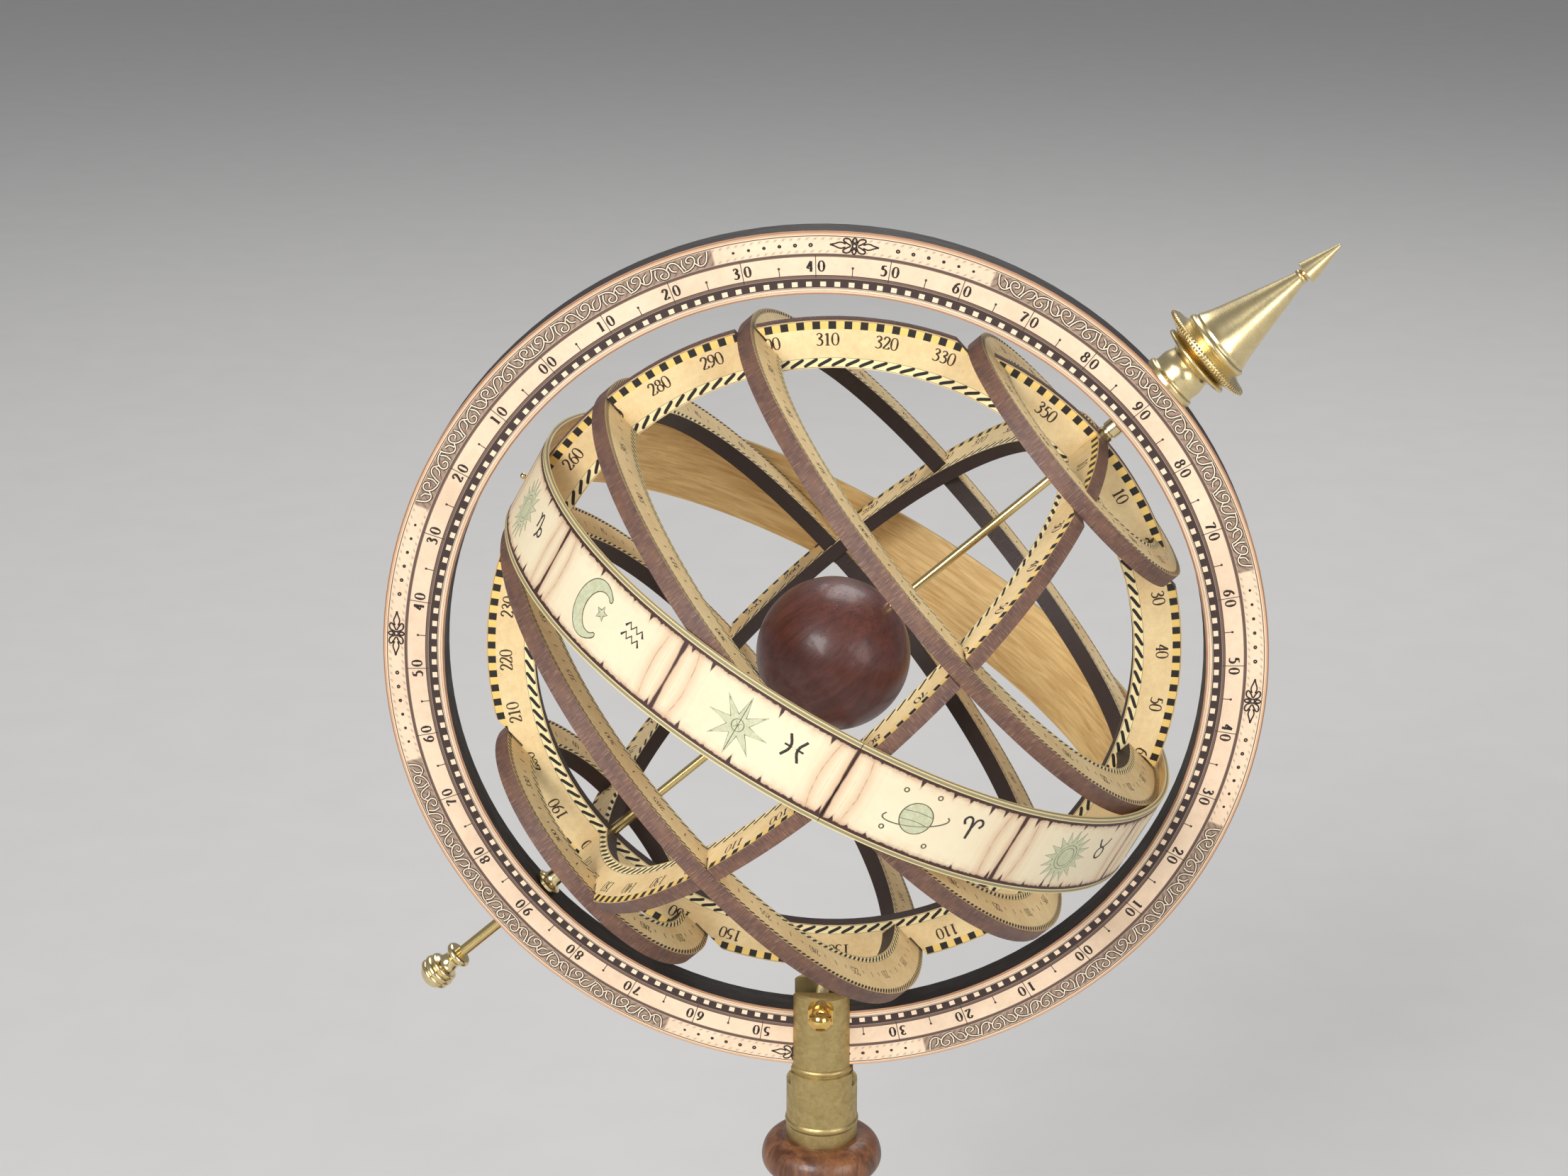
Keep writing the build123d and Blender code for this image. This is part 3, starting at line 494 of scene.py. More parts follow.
@dataclass(frozen=True)
class RingBoard(Finish):
    """The laminated core of the meridian ring, with dark cut walls and a lit edge."""

    axes: Axes
    middle: float = 111.6
    outer_wall: Colour = tint(40, 30, 26)
    inner_wall: Colour = tint(34, 27, 25)
    edge: Colour = tint(176, 134, 106)

    def material(self) -> bpy.types.Material:
        """Returns the core's material."""
        made, w, shader = self.start()
        place, flat = w.own_place(self.axes)
        polar = w.group(effects.polar, {"Vector": place}).outputs
        values = {"Degrees": polar["Degrees"], "Radius": polar["Radius"], "Height": polar["Height"]}
        streaks = w.group(effects.streaks, values).outputs
        outside = w.maths("GREATER_THAN", polar["Radius"], self.middle)
        wall = w.mix(outside, self.inner_wall, self.outer_wall)
        wall = w.shade(w.maths("MULTIPLY", streaks["Streak"], 0.45), wall, tint(150, 120, 105))
        plies = w.maths("SINE", w.maths("MULTIPLY", polar["Height"], 4.2))
        wall = w.shade(w.span(plies, 0.6, 1.0, 0.0, 0.35), wall, tint(120, 100, 92))
        away = w.maths("ABSOLUTE", polar["Height"])
        near_edge = w.maths("MULTIPLY", w.span(away, 4.45, 4.75, 0.0, 1.0), outside)
        wall = w.mix(w.maths("MULTIPLY", near_edge, 0.55), wall, self.edge)
        colour = w.mix(flat, wall, self.edge)
        w.feed(shader.inputs["Base Color"], colour)
        w.feed(shader.inputs["Roughness"], w.span(streaks["Patch"], 0.0, 1.0, 0.52, 0.68))
        self.raise_by(w, shader, streaks["Streak"], 0.00004)
        return made


class Border(Enum):
    """What a cage ring has printed along its outer edge."""

    CHECKER = "checker"
    ROPE = "rope"


@dataclass(frozen=True)
class CageBoard(Finish):
    """A cage ring: printed faces with borders, and dark cut walls."""

    axes: Axes
    outer: float
    width: float
    border: Border
    field_light: Colour = tint(246, 222, 170)
    field_dark: Colour = tint(222, 190, 136)
    gold: Colour = tint(240, 204, 118)
    cream: Colour = tint(248, 230, 176)
    black: Colour = tint(30, 24, 22)
    outer_wall: Colour = tint(128, 92, 72)
    outer_patch: Colour = tint(100, 73, 66)
    inner_wall: Colour = tint(58, 42, 37)

    def material(self) -> bpy.types.Material:
        """Returns the ring's material."""
        made, w, shader = self.start()
        place, flat = w.own_place(self.axes)
        polar = w.group(effects.polar, {"Vector": place}).outputs
        stock = w.group(effects.stock, {"Vector": place, "Scale": 1.3}).outputs
        values = {"Degrees": polar["Degrees"], "Radius": polar["Radius"], "Height": polar["Height"]}
        streaks = w.group(effects.streaks, values).outputs
        radius, degrees = polar["Radius"], polar["Degrees"]
        inner = self.outer - self.width

        face = w.mix(stock["Tone"], self.field_light, self.field_dark)
        face = w.mix(w.maths("MULTIPLY", stock["Fleck"], 0.3), face, self.outer_patch)
        if self.border is Border.CHECKER:
            low, high = self.outer - 2.5, self.outer - 0.35
            face = w.mix(w.between(radius, low, high, LINE_SOFT), face, self.gold)
            steps = round(2 * math.pi * (self.outer - 1.3) / 4.2)
            squares = TickRow(360.0 / steps, 0.0, 1.05, low, high)
            face = w.mix(squares.mask(w, degrees, radius), face, self.black)
            rope_width, rope_step = 2.4, 2.5
        else:
            steps = round(2 * math.pi * self.outer / 1.9)
            rope = RopeRow(360.0 / steps, self.outer - 1.7, self.outer - 0.25, 0.9, 0.74)
            face = w.mix(rope.mask(w, degrees, radius), face, self.black)
            rope_width, rope_step = 1.5, 1.8
        low, high = inner + 0.3, inner + 0.3 + rope_width
        face = w.mix(w.between(radius, low, high, LINE_SOFT), face, self.cream)
        steps = round(2 * math.pi * (inner + 1.0) / (rope_step * 1.45))
        rope = RopeRow(360.0 / steps, low, high, 0.8, 0.6)
        face = w.mix(rope.mask(w, degrees, radius), face, self.black)
        for edge in (low - 0.06, high, self.outer - 0.3):
            line = w.between(radius, edge - 0.07, edge + 0.07, LINE_SOFT)
            face = w.mix(line, face, self.black)
        scorch = w.span(radius, self.outer - 0.3, self.outer, 0.0, 0.6)
        face = w.mix(scorch, face, tint(168, 116, 62))

        outside = w.maths("GREATER_THAN", radius, self.outer - self.width / 2)
        wall = w.mix(streaks["Patch"], self.outer_wall, self.outer_patch)
        wall = w.mix(outside, self.inner_wall, wall)
        wall = w.shade(w.maths("MULTIPLY", streaks["Streak"], 0.5), wall, tint(150, 128, 120))
        pale = w.span(streaks["Streak"], 0.0, 0.38, 0.6, 0.0)
        wall = w.mix(w.maths("MULTIPLY", pale, outside), wall, tint(160, 128, 108))
        w.feed(shader.inputs["Base Color"], w.mix(flat, wall, face))
        w.feed(shader.inputs["Roughness"], w.span(stock["Tone"], 0.0, 1.0, 0.46, 0.62))
        high_part = w.add("ShaderNodeMix", {0: flat, 2: streaks["Streak"], 3: stock["Tooth"]}, data_type="FLOAT")
        self.raise_by(w, shader, high_part.outputs[0], 0.00005)
        return made


@dataclass(frozen=True)
class BandPrint(Finish):
    """The zodiac band: parchment sheets with burnt edges outside, pale veneer inside."""

    axes: Axes
    outer: float = 95.95
    sheet: Colour = tint(234, 221, 188)
    shadow: Colour = tint(206, 168, 134)
    fold: Colour = tint(166, 124, 98)
    burnt: Colour = tint(62, 36, 32)
    line_green: Colour = tint(140, 134, 104)
    line_gold: Colour = tint(222, 200, 146)
    veneer: Colour = tint(236, 204, 142)
    veneer_dark: Colour = tint(206, 164, 102)

    def material(self) -> bpy.types.Material:
        """Returns the band's material."""
        made, w, shader = self.start()
        place, flat = w.own_place(self.axes)
        polar = w.group(effects.polar, {"Vector": place}).outputs
        stock = w.group(effects.stock, {"Vector": place, "Scale": 1.0}).outputs
        degree = math.radians(1.0) * self.outer
        arc = w.maths("MULTIPLY", polar["Degrees"], degree)
        height = polar["Height"]
        away = w.maths("ABSOLUTE", height)
        sheet_place = w.joined(arc, height)

        wobble = w.maths("SUBTRACT", w.noise(sheet_place, 0.16, 2.0), 0.5)
        bow = w.maths("MULTIPLY", w.maths("POWER", w.maths("DIVIDE", away, 10.0), 2.0), 1.2)
        divider = w.maths("MULTIPLY", w.maths("PINGPONG", polar["Degrees"], 15.0), degree)
        from_line = w.maths("ADD", divider, w.maths("MULTIPLY", wobble, 0.9))
        from_fold = w.maths("ABSOLUTE", w.maths("SUBTRACT", w.maths("ADD", from_line, bow), 5.6))
        colour = w.mix(w.maths("MULTIPLY", stock["Tone"], 0.22), self.sheet, self.shadow)
        curl = w.maths("ADD", w.span(from_line, 0.4, 2.6, 0.85, 0.1), w.span(from_fold, 0.0, 2.2, 0.55, 0.0))
        curl = w.maths("MULTIPLY", curl, w.maths("LESS_THAN", from_line, 9.0), clamp=True)
        colour = w.mix(curl, colour, self.shadow)
        from_second = w.maths("ADD", from_line, w.maths("MULTIPLY", bow, 0.5))
        second = w.maths("ABSOLUTE", w.maths("SUBTRACT", from_second, 3.1))
        creases = w.maths("MAXIMUM", w.span(from_fold, 0.0, 0.22, 0.8, 0.0), w.span(second, 0.0, 0.14, 0.35, 0.0))
        broken = w.span(w.noise(sheet_place, 0.55, 2.0), 0.38, 0.55, 0.15, 1.0)
        colour = w.mix(w.maths("MULTIPLY", creases, broken), colour, self.fold)
        patchy = w.span(w.noise(sheet_place, 0.4, 3.0), 0.4, 0.62, 0.2, 1.0)
        hem = w.maths("MULTIPLY", w.span(away, 6.6, 9.6, 0.0, 0.5), patchy)
        colour = w.mix(hem, colour, self.shadow)

        side = w.maths("MULTIPLY", w.maths("SIGN", height), 37.0)
        run = w.maths("ADD", w.maths("MULTIPLY", arc, 0.2), side)
        spikes = w.add("ShaderNodeTexVoronoi", {"W": run, "Scale": 1.0}, voronoi_dimensions="1D").outputs
        lot = w.add("ShaderNodeSeparateColor", {0: spikes["Color"]}).outputs
        length = w.span(lot[0], 0.3, 1.0, 0.0, 2.6)
        spike = w.maths("MULTIPLY", w.span(spikes["Distance"], 0.0, 0.12, 1.0, 0.0), length)
        ragged = w.maths("SUBTRACT", w.noise(sheet_place, 0.9, 4.0, 0.7), 0.5)
        limit = w.maths("SUBTRACT", w.maths("ADD", 9.65, w.maths("MULTIPLY", ragged, 1.3)), spike)
        over = w.maths("SUBTRACT", away, limit)
        char = w.span(over, -0.15, 0.12, 0.0, 1.0)
        colour = w.mix(w.span(over, -1.1, 0.0, 0.0, 0.55), colour, self.fold)
        colour = w.mix(char, colour, self.burnt)
        flare = w.maths("MULTIPLY", w.maths("SUBTRACT", away, 8.0), -0.04)
        gap = w.span(w.maths("ADD", from_line, flare), 0.42, 0.8, 1.0, 0.0)
        colour = w.mix(gap, colour, self.burnt)
        colour = w.mix(w.span(away, 10.45, 10.55, 0.0, 1.0), colour, self.line_gold)
        colour = w.mix(w.span(away, 10.75, 10.85, 0.0, 1.0), colour, self.line_green)
        colour = w.mix(w.span(away, 11.45, 11.55, 0.0, 1.0), colour, self.line_gold)

        along = w.maths("MULTIPLY", arc, 0.05)
        grain_place = w.joined(along, w.maths("MULTIPLY", height, 0.55))
        warp = {"Vector": grain_place, "Scale": 1.3, "Detail": 5.0, "Roughness": 0.6, "Distortion": 0.7}
        broad = w.add("ShaderNodeTexNoise", warp).outputs[0]
        fine_place = w.joined(along, w.maths("MULTIPLY", height, 2.6))
        fine = w.noise(fine_place, 1.0, 4.0, 0.7)
        wood = w.mix(w.span(broad, 0.38, 0.66, 0.0, 1.0), self.veneer, self.veneer_dark)
        wood = w.shade(w.span(fine, 0.5, 0.75, 0.0, 0.3), wood, tint(206, 172, 126))
        outside = w.maths("GREATER_THAN", polar["Radius"], self.outer - 0.6)
        body = w.mix(outside, wood, colour)
        from_core = w.maths("ABSOLUTE", w.maths("SUBTRACT", polar["Radius"], self.outer - 0.65))
        rim = w.mix(w.span(from_core, 0.2, 0.3, 0.0, 1.0), self.line_green, self.line_gold)
        w.feed(shader.inputs["Base Color"], w.mix(flat, body, rim))
        w.feed(shader.inputs["Roughness"], w.span(stock["Tone"], 0.0, 1.0, 0.42, 0.56))
        tooth = w.add("ShaderNodeMix", {0: outside, 2: fine, 3: stock["Tooth"]}, data_type="FLOAT")
        self.raise_by(w, shader, tooth.outputs[0], 0.00003)
        return made


@dataclass(frozen=True)
class Brass(Finish):
    """Turned brass, from freshly polished to aged and mottled."""

    bright: Colour
    dull: Colour
    polish: float
    wear: float
    axes: Axes
    fineness: float = 1.0
    turning: float = 1.0

    def material(self) -> bpy.types.Material:
        """Returns the brass."""
        made, w, shader = self.start()
        place, _ = w.own_place(self.axes)
        age = w.group(effects.age, {"Vector": place, "Scale": self.fineness}).outputs
        parts = w.add("ShaderNodeSeparateXYZ", {0: place}).outputs
        around = w.add("ShaderNodeVectorMath", {0: place, 1: (1.0, 1.0, 0.0)}, operation="MULTIPLY").outputs[0]
        far = w.add("ShaderNodeVectorMath", {0: around}, operation="LENGTH").outputs["Value"]
        lathe_place = w.joined(w.maths("MULTIPLY", parts[2], 4.0), w.maths("MULTIPLY", far, 4.0))
        lathe = w.noise(lathe_place, 1.0, 3.0, 0.7)
        clouds = w.maths("MULTIPLY", age["Cloud"], self.wear)
        spots = w.maths("MAXIMUM", clouds, w.maths("MULTIPLY", age["Pit"], self.wear * 0.5))
        colour = w.mix(spots, self.bright, self.dull)
        w.feed(shader.inputs["Base Color"], colour)
        shader.inputs["Metallic"].default_value = 1.0
        rough = w.maths("ADD", self.polish, w.maths("MULTIPLY", spots, 0.22))
        marks = w.maths("MULTIPLY", w.maths("SUBTRACT", lathe, 0.5), 0.14 * self.turning)
        rough = w.maths("ADD", rough, marks, clamp=True)
        w.feed(shader.inputs["Roughness"], rough)
        height = w.maths("ADD", w.maths("MULTIPLY", lathe, 0.6), w.maths("MULTIPLY", age["Pit"], -self.wear))
        self.raise_by(w, shader, height, 0.000006 * self.turning, 0.6)
        return made


@dataclass(frozen=True)
class Steel(Finish):
    """Plain zinc-bright steel of the clamp bolt."""

    def material(self) -> bpy.types.Material:
        """Returns the steel."""
        made, w, shader = self.start()
        place = w.millimetres()
        cloud = w.noise(place, 0.8, 4.0, 0.6)
        w.feed(shader.inputs["Base Color"], w.mix(cloud, tint(214, 214, 212), tint(168, 168, 170)))
        shader.inputs["Metallic"].default_value = 1.0
        w.feed(shader.inputs["Roughness"], w.span(cloud, 0.3, 0.7, 0.14, 0.34))
        self.raise_by(w, shader, w.noise(place, 7.0, 3.0), 0.00001)
        return made


@dataclass(frozen=True)
class VarnishedWood(Finish):
    """Dark turned wood under varnish."""

    light: Colour
    dark: Colour
    pore: Colour
    axes: Axes
    stretch: float = 0.16
    gloss: float = 0.3
    rubbed: float = 0.0

    def material(self) -> bpy.types.Material:
        """Returns the wood."""
        made, w, shader = self.start()
        place, _ = w.own_place(self.axes)
        figure = w.group(effects.figure, {"Vector": place, "Stretch": self.stretch}).outputs
        stock = w.group(effects.stock, {"Vector": place, "Scale": 2.2}).outputs
        colour = w.mix(figure["Figure"], self.light, self.dark)
        colour = w.mix(w.maths("MULTIPLY", figure["Pore"], 0.5), colour, self.pore)
        colour = w.mix(w.maths("MULTIPLY", stock["Tone"], self.rubbed), colour, self.dark)
        colour = w.shade(w.span(figure["Grain"], 0.4, 0.7, 0.0, 0.45), colour, tint(150, 120, 104))
        w.feed(shader.inputs["Base Color"], colour)
        w.feed(shader.inputs["Roughness"], w.span(stock["Tone"], 0.0, 1.0, self.gloss, self.gloss + 0.16))
        shader.inputs["Coat Weight"].default_value = 0.22
        shader.inputs["Coat Roughness"].default_value = 0.16
        grain = w.maths("MULTIPLY", figure["Grain"], 0.5)
        height = w.maths("SUBTRACT", grain, w.maths("MULTIPLY", figure["Pore"], 0.5))
        self.raise_by(w, shader, height, 0.0001, 0.7)
        return made


@dataclass(frozen=True)
class Felt(Finish):
    """Pressed felt under the stand."""

    def material(self) -> bpy.types.Material:
        """Returns the felt."""
        made, w, shader = self.start()
        place = w.millimetres()
        fibres = w.noise(place, 2.2, 6.0, 0.75)
        w.feed(shader.inputs["Base Color"], w.mix(fibres, tint(44, 62, 46), tint(78, 98, 74)))
        shader.inputs["Roughness"].default_value = 0.95
        shader.inputs["Sheen Weight"].default_value = 0.3
        self.raise_by(w, shader, fibres, 0.0003)
        return made


@dataclass(frozen=True)
class Ink(Finish):
    """Printing ink, a little worn and uneven."""

    full: Colour
    thin: Colour

    def material(self) -> bpy.types.Material:
        """Returns the ink."""
        made, w, shader = self.start()
        place = w.millimetres()
        patch = w.noise(place, 0.9, 4.0, 0.7)
        w.feed(shader.inputs["Base Color"], w.mix(w.span(patch, 0.4, 0.7, 0.0, 1.0), self.full, self.thin))
        w.feed(shader.inputs["Roughness"], w.span(patch, 0.3, 0.7, 0.45, 0.65))
        self.raise_by(w, shader, w.noise(place, 5.0, 3.0), 0.00001)
        return made


@dataclass(frozen=True)
class Stroke:
    """One line of a drawing, in millimetres or in parts of its height.

    Attributes:
        points: Places that the line goes through.
        closed: Whether it joins up.
        straight: Whether it turns in corners rather than curves.
    """

    points: tuple[Point, ...]
    closed: bool = False
    straight: bool = False


def circle(x: float, y: float, radius: float) -> Stroke:
    """Returns a round line."""
    return Stroke(((x + radius, y), (x, y + radius), (x - radius, y), (x, y - radius)), closed=True)


def bar(*points: Point) -> Stroke:
    """Returns a line with straight runs."""
    return Stroke(tuple(points), straight=True)


def curve(*points: Point) -> Stroke:
    """Returns a smooth line."""
    return Stroke(tuple(points))


DIGITS: dict[str, tuple[Stroke, ...]] = {
    "0": (Stroke(((0.30, 1.0), (0.05, 0.5), (0.30, 0.0), (0.55, 0.5)), closed=True),),
    "1": (bar((0.30, 0.0), (0.30, 0.99)), bar((0.31, 0.99), (0.13, 0.86)), bar((0.13, 0.01), (0.47, 0.01))),
    "2": (
        curve((0.07, 0.76), (0.15, 0.95), (0.32, 1.0), (0.49, 0.84), (0.44, 0.60), (0.26, 0.32), (0.06, 0.05)),
        bar((0.05, 0.03), (0.49, 0.03)),
        bar((0.49, 0.03), (0.55, 0.19)),
    ),
    "3": (
        curve((0.07, 0.86), (0.26, 1.0), (0.46, 0.80), (0.22, 0.54)),
        curve((0.22, 0.54), (0.47, 0.42), (0.50, 0.18), (0.30, 0.0), (0.05, 0.08)),
    ),
    "4": (
        bar((0.41, 0.0), (0.41, 0.98)),
        bar((0.41, 0.98), (0.04, 0.29)),
        bar((0.04, 0.29), (0.57, 0.29)),
        bar((0.28, 0.01), (0.54, 0.01)),
    ),
    "5": (
        bar((0.17, 0.96), (0.50, 0.96)),
        bar((0.17, 0.96), (0.12, 0.57)),
        curve((0.12, 0.57), (0.32, 0.61), (0.51, 0.38), (0.42, 0.08), (0.20, 0.0), (0.04, 0.06)),
    ),
    "6": (
        Stroke(((0.31, 0.60), (0.08, 0.30), (0.31, 0.0), (0.54, 0.30)), closed=True),
        curve((0.52, 1.0), (0.24, 0.80), (0.08, 0.34)),
    ),
    "7": (
        bar((0.06, 0.82), (0.09, 0.96)),
        bar((0.09, 0.96), (0.54, 0.96)),
        curve((0.54, 0.96), (0.33, 0.48), (0.22, 0.0)),
    ),
    "8": (
        Stroke(((0.30, 1.0), (0.11, 0.78), (0.30, 0.55), (0.49, 0.78)), closed=True),
        Stroke(((0.30, 0.55), (0.06, 0.27), (0.30, 0.0), (0.54, 0.27)), closed=True),
    ),
    "9": (
        Stroke(((0.29, 1.0), (0.06, 0.70), (0.29, 0.40), (0.52, 0.70)), closed=True),
        curve((0.52, 0.66), (0.38, 0.22), (0.08, 0.0)),
    ),
}

SIGNS: tuple[tuple[Stroke, ...], ...] = (
    (
        curve((0.05, 0.92), (0.17, 0.80), (0.20, 0.30)),
        curve((0.20, 0.66), (0.36, 0.93), (0.49, 0.70), (0.50, 0.20), (0.34, -0.08)),
        circle(0.69, 0.26, 0.18),
    ),
    (
        bar((0.0, 0.60), (0.17, 0.84), (0.33, 0.60), (0.50, 0.84), (0.67, 0.60), (0.83, 0.84), (1.0, 0.60)),
        bar((0.0, 0.16), (0.17, 0.40), (0.33, 0.16), (0.50, 0.40), (0.67, 0.16), (0.83, 0.40), (1.0, 0.16)),
    ),
    (
        curve((0.12, 1.0), (0.34, 0.5), (0.12, 0.0)),
        curve((0.88, 1.0), (0.66, 0.5), (0.88, 0.0)),
        bar((0.08, 0.5), (0.92, 0.5)),
    ),
    (
        curve((0.50, 0.0), (0.48, 0.60), (0.28, 0.98), (0.07, 0.82), (0.16, 0.60)),
        curve((0.50, 0.0), (0.52, 0.60), (0.72, 0.98), (0.93, 0.82), (0.84, 0.60)),
    ),
    (circle(0.5, 0.29, 0.28), curve((0.08, 1.0), (0.28, 0.68), (0.50, 0.57), (0.72, 0.68), (0.92, 1.0))),
    (
        curve((0.08, 1.0), (0.50, 0.88), (0.92, 1.0)),
        curve((0.08, 0.0), (0.50, 0.12), (0.92, 0.0)),
        bar((0.34, 0.10), (0.34, 0.90)),
        bar((0.66, 0.10), (0.66, 0.90)),
    ),
    (
        circle(0.21, 0.66, 0.13),
        curve((0.09, 0.73), (0.42, 0.96), (0.94, 0.78)),
        circle(0.79, 0.34, 0.13),
        curve((0.91, 0.27), (0.58, 0.04), (0.06, 0.22)),
    ),
    (
        circle(0.22, 0.40, 0.15),
        curve((0.35, 0.48), (0.22, 0.78), (0.44, 1.0), (0.68, 0.80), (0.58, 0.36), (0.66, 0.04), (0.88, 0.12)),
    ),
    (
        curve((0.04, 0.92), (0.14, 0.80), (0.14, 0.12)),
        curve((0.14, 0.74), (0.26, 0.93), (0.36, 0.76), (0.36, 0.12)),
        curve((0.36, 0.74), (0.48, 0.93), (0.58, 0.76), (0.60, 0.16), (0.82, -0.04)),
        curve((0.59, 0.66), (0.80, 0.72), (0.78, 0.36), (0.46, 0.02)),
    ),
    (
        bar((0.04, 0.08), (0.96, 0.08)),
        curve((0.04, 0.32), (0.34, 0.32), (0.26, 0.62), (0.50, 0.90), (0.74, 0.62), (0.66, 0.32), (0.96, 0.32)),
    ),
    (
        curve((0.04, 0.92), (0.14, 0.80), (0.14, 0.12)),
        curve((0.14, 0.74), (0.26, 0.93), (0.36, 0.76), (0.36, 0.12)),
        curve((0.36, 0.74), (0.48, 0.93), (0.58, 0.76), (0.60, 0.18), (0.74, 0.04), (0.94, 0.20)),
        bar((0.80, 0.24), (0.94, 0.20), (0.97, 0.03)),
    ),
    (
        bar((0.08, 0.04), (0.94, 0.96)),
        bar((0.54, 0.96), (0.94, 0.96), (0.94, 0.56)),
        bar((0.16, 0.46), (0.50, 0.12)),
    ),
)


@dataclass
class Pen:
    """Draws ink as a bevelled curve of changing width, then flattens it onto what carries it.

    Attributes:
        name: Name of the piece.
        ink: Its material.
        thick: Half width of an upright stroke, in millimetres.
        thin: Half width of a level stroke, in millimetres.
        rise: How far the ink stands above the surface, in millimetres.
    """

    name: str
    ink: bpy.types.Material
    thick: float
    thin: float
    rise: float = 0.03
    lines: list[tuple[np.ndarray, list[float], Stroke]] = field(default_factory=list)

    def draw(self, strokes: Sequence[Stroke], origin: Point, across: Point, up: Point, size: float) -> None:
        """Puts strokes on the sheet.

        Args:
            strokes: The strokes, in parts of their size.
            origin: Where their own origin lies on the sheet, in millimetres.
            across: The sheet's direction that their x runs along.
            up: The sheet's direction that their y runs along.
            size: Millimetres to their unit.
        """
        for stroke in strokes:
            local = np.array(stroke.points, float)
            turned = local[:, :1] * np.array(across) + local[:, 1:] * np.array(up)
            placed = np.array(origin) + turned * size
            self.lines.append((placed, self._widths(local, stroke.closed), stroke))

    def _widths(self, local: np.ndarray, closed: bool) -> list[float]:
        """Half width at each point: thick where the pen goes up or down, thin where it goes across."""
        count = len(local)
        before = [local[(i - 1) % count] if closed or i else local[0] for i in range(count)]
        after = [local[(i + 1) % count] if closed or i < count - 1 else local[-1] for i in range(count)]
        widths = []
        for first, last in zip(before, after):
            way = last - first
            steep = abs(way[1]) / max(float(np.hypot(*way)), 1e-9)
            widths.append(self.thin + (self.thick - self.thin) * steep**1.4)
        return widths

    def build(self) -> bpy.types.Object:
        """Makes the sheet of ink as a mesh that lies flat on z = 0, in metres.

        Returns:
            The mesh object.
        """
        bpy.ops.object.select_all(action="DESELECT")
        bpy.ops.curve.primitive_bezier_curve_add()
        drawn = bpy.context.object
        drawn.name = self.name
        data = drawn.data
        data.splines.clear()
        data.dimensions = "3D"
        data.twist_mode = "Z_UP"
        data.resolution_u = 4
        data.bevel_depth = 1.0
        data.bevel_resolution = 0
        data.use_fill_caps = True
        for placed, widths, stroke in self.lines:
            spline = data.splines.new("BEZIER")
            spline.bezier_points.add(len(placed) - 1)
            spline.use_cyclic_u = stroke.closed
            for knot, place, width in zip(spline.bezier_points, placed, widths):
                knot.co = (place[0], place[1], 0.0)
                knot.handle_left_type = knot.handle_right_type = "VECTOR" if stroke.straight else "AUTO"
                knot.radius = width
        bpy.ops.object.convert(target="MESH")
        sheet = bpy.context.object
        points = np.zeros(len(sheet.data.vertices) * 3)
        sheet.data.vertices.foreach_get("co", points)
        points = points.reshape(-1, 3)
        points[:, 2] = np.clip(points[:, 2] / max(self.thin, 0.01), -1.0, 1.0) * self.rise
        sheet.data.vertices.foreach_set("co", (points * MM).ravel())
        sheet.data.update()
        sheet.data.materials.clear()
        sheet.data.materials.append(self.ink)
        return sheet


def lay_flat(sheet: bpy.types.Object, axes: Axes, body: str) -> bpy.types.Object:
    """Lays a flat sheet of ink on a ring's face.

    Args:
        sheet: The ink.
        axes: The face's own directions, with its centre on the face.
        body: The CAD body that it rides on.

    Returns:
        The same object.
    """
    sheet.data.transform(axes.matrix())
    sheet.data.update()
    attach(sheet, body)
    return sheet


def bend_round(sheet: bpy.types.Object, axes: Axes, radius: float, body: str) -> bpy.types.Object:
    """Bends a flat sheet of ink round a band: x becomes the way round, y the height.

    Args:
        sheet: The ink, in metres.
        axes: The band's own directions.
        radius: The band's outer radius in millimetres.
        body: The CAD body that it rides on.

    Returns:
        The same object.
    """
    points = np.zeros(len(sheet.data.vertices) * 3)
    sheet.data.vertices.foreach_get("co", points)
    points = points.reshape(-1, 3)
    angle = points[:, 0] / (radius * MM)
    far = radius * MM + points[:, 2]
    bent = np.stack([far * np.cos(angle), far * np.sin(angle), points[:, 1]], axis=1)
    sheet.data.vertices.foreach_set("co", bent.ravel())
    return lay_flat(sheet, axes, body)


def ring_spot(degrees: float, radius: float) -> tuple[Point, Point, Point]:
    """A place on a ring's face with its own directions, for print that reads clockwise.

    Args:
        degrees: The angle from the ring's start, anticlockwise.
        radius: The radius in millimetres.

    Returns:
        The place, the direction that print runs along, and its upward direction.
    """
    turn = math.radians(degrees)
    up = (math.cos(turn), math.sin(turn))
    return (up[0] * radius, up[1] * radius), (up[1], -up[0]), up


def write(pen: Pen, text: str, degrees: float, radius: float, height: float, pitch: float = 0.62) -> None:
    """Writes a number on a ring's face, centred on an angle, with its top outward.

    Args:
        pen: The pen.
        text: The digits.
        degrees: The angle of its middle.
        radius: The radius of its foot.
        height: The digits' height in millimetres.
        pitch: Digit spacing in parts of the height.
    """
    for index, digit in enumerate(text):
        spot, along, up = ring_spot(degrees, radius)
        shift = (index - len(text) / 2) * pitch * height
        origin = (spot[0] + along[0] * shift, spot[1] + along[1] * shift)
        pen.draw(DIGITS[digit], origin, along, up, height)


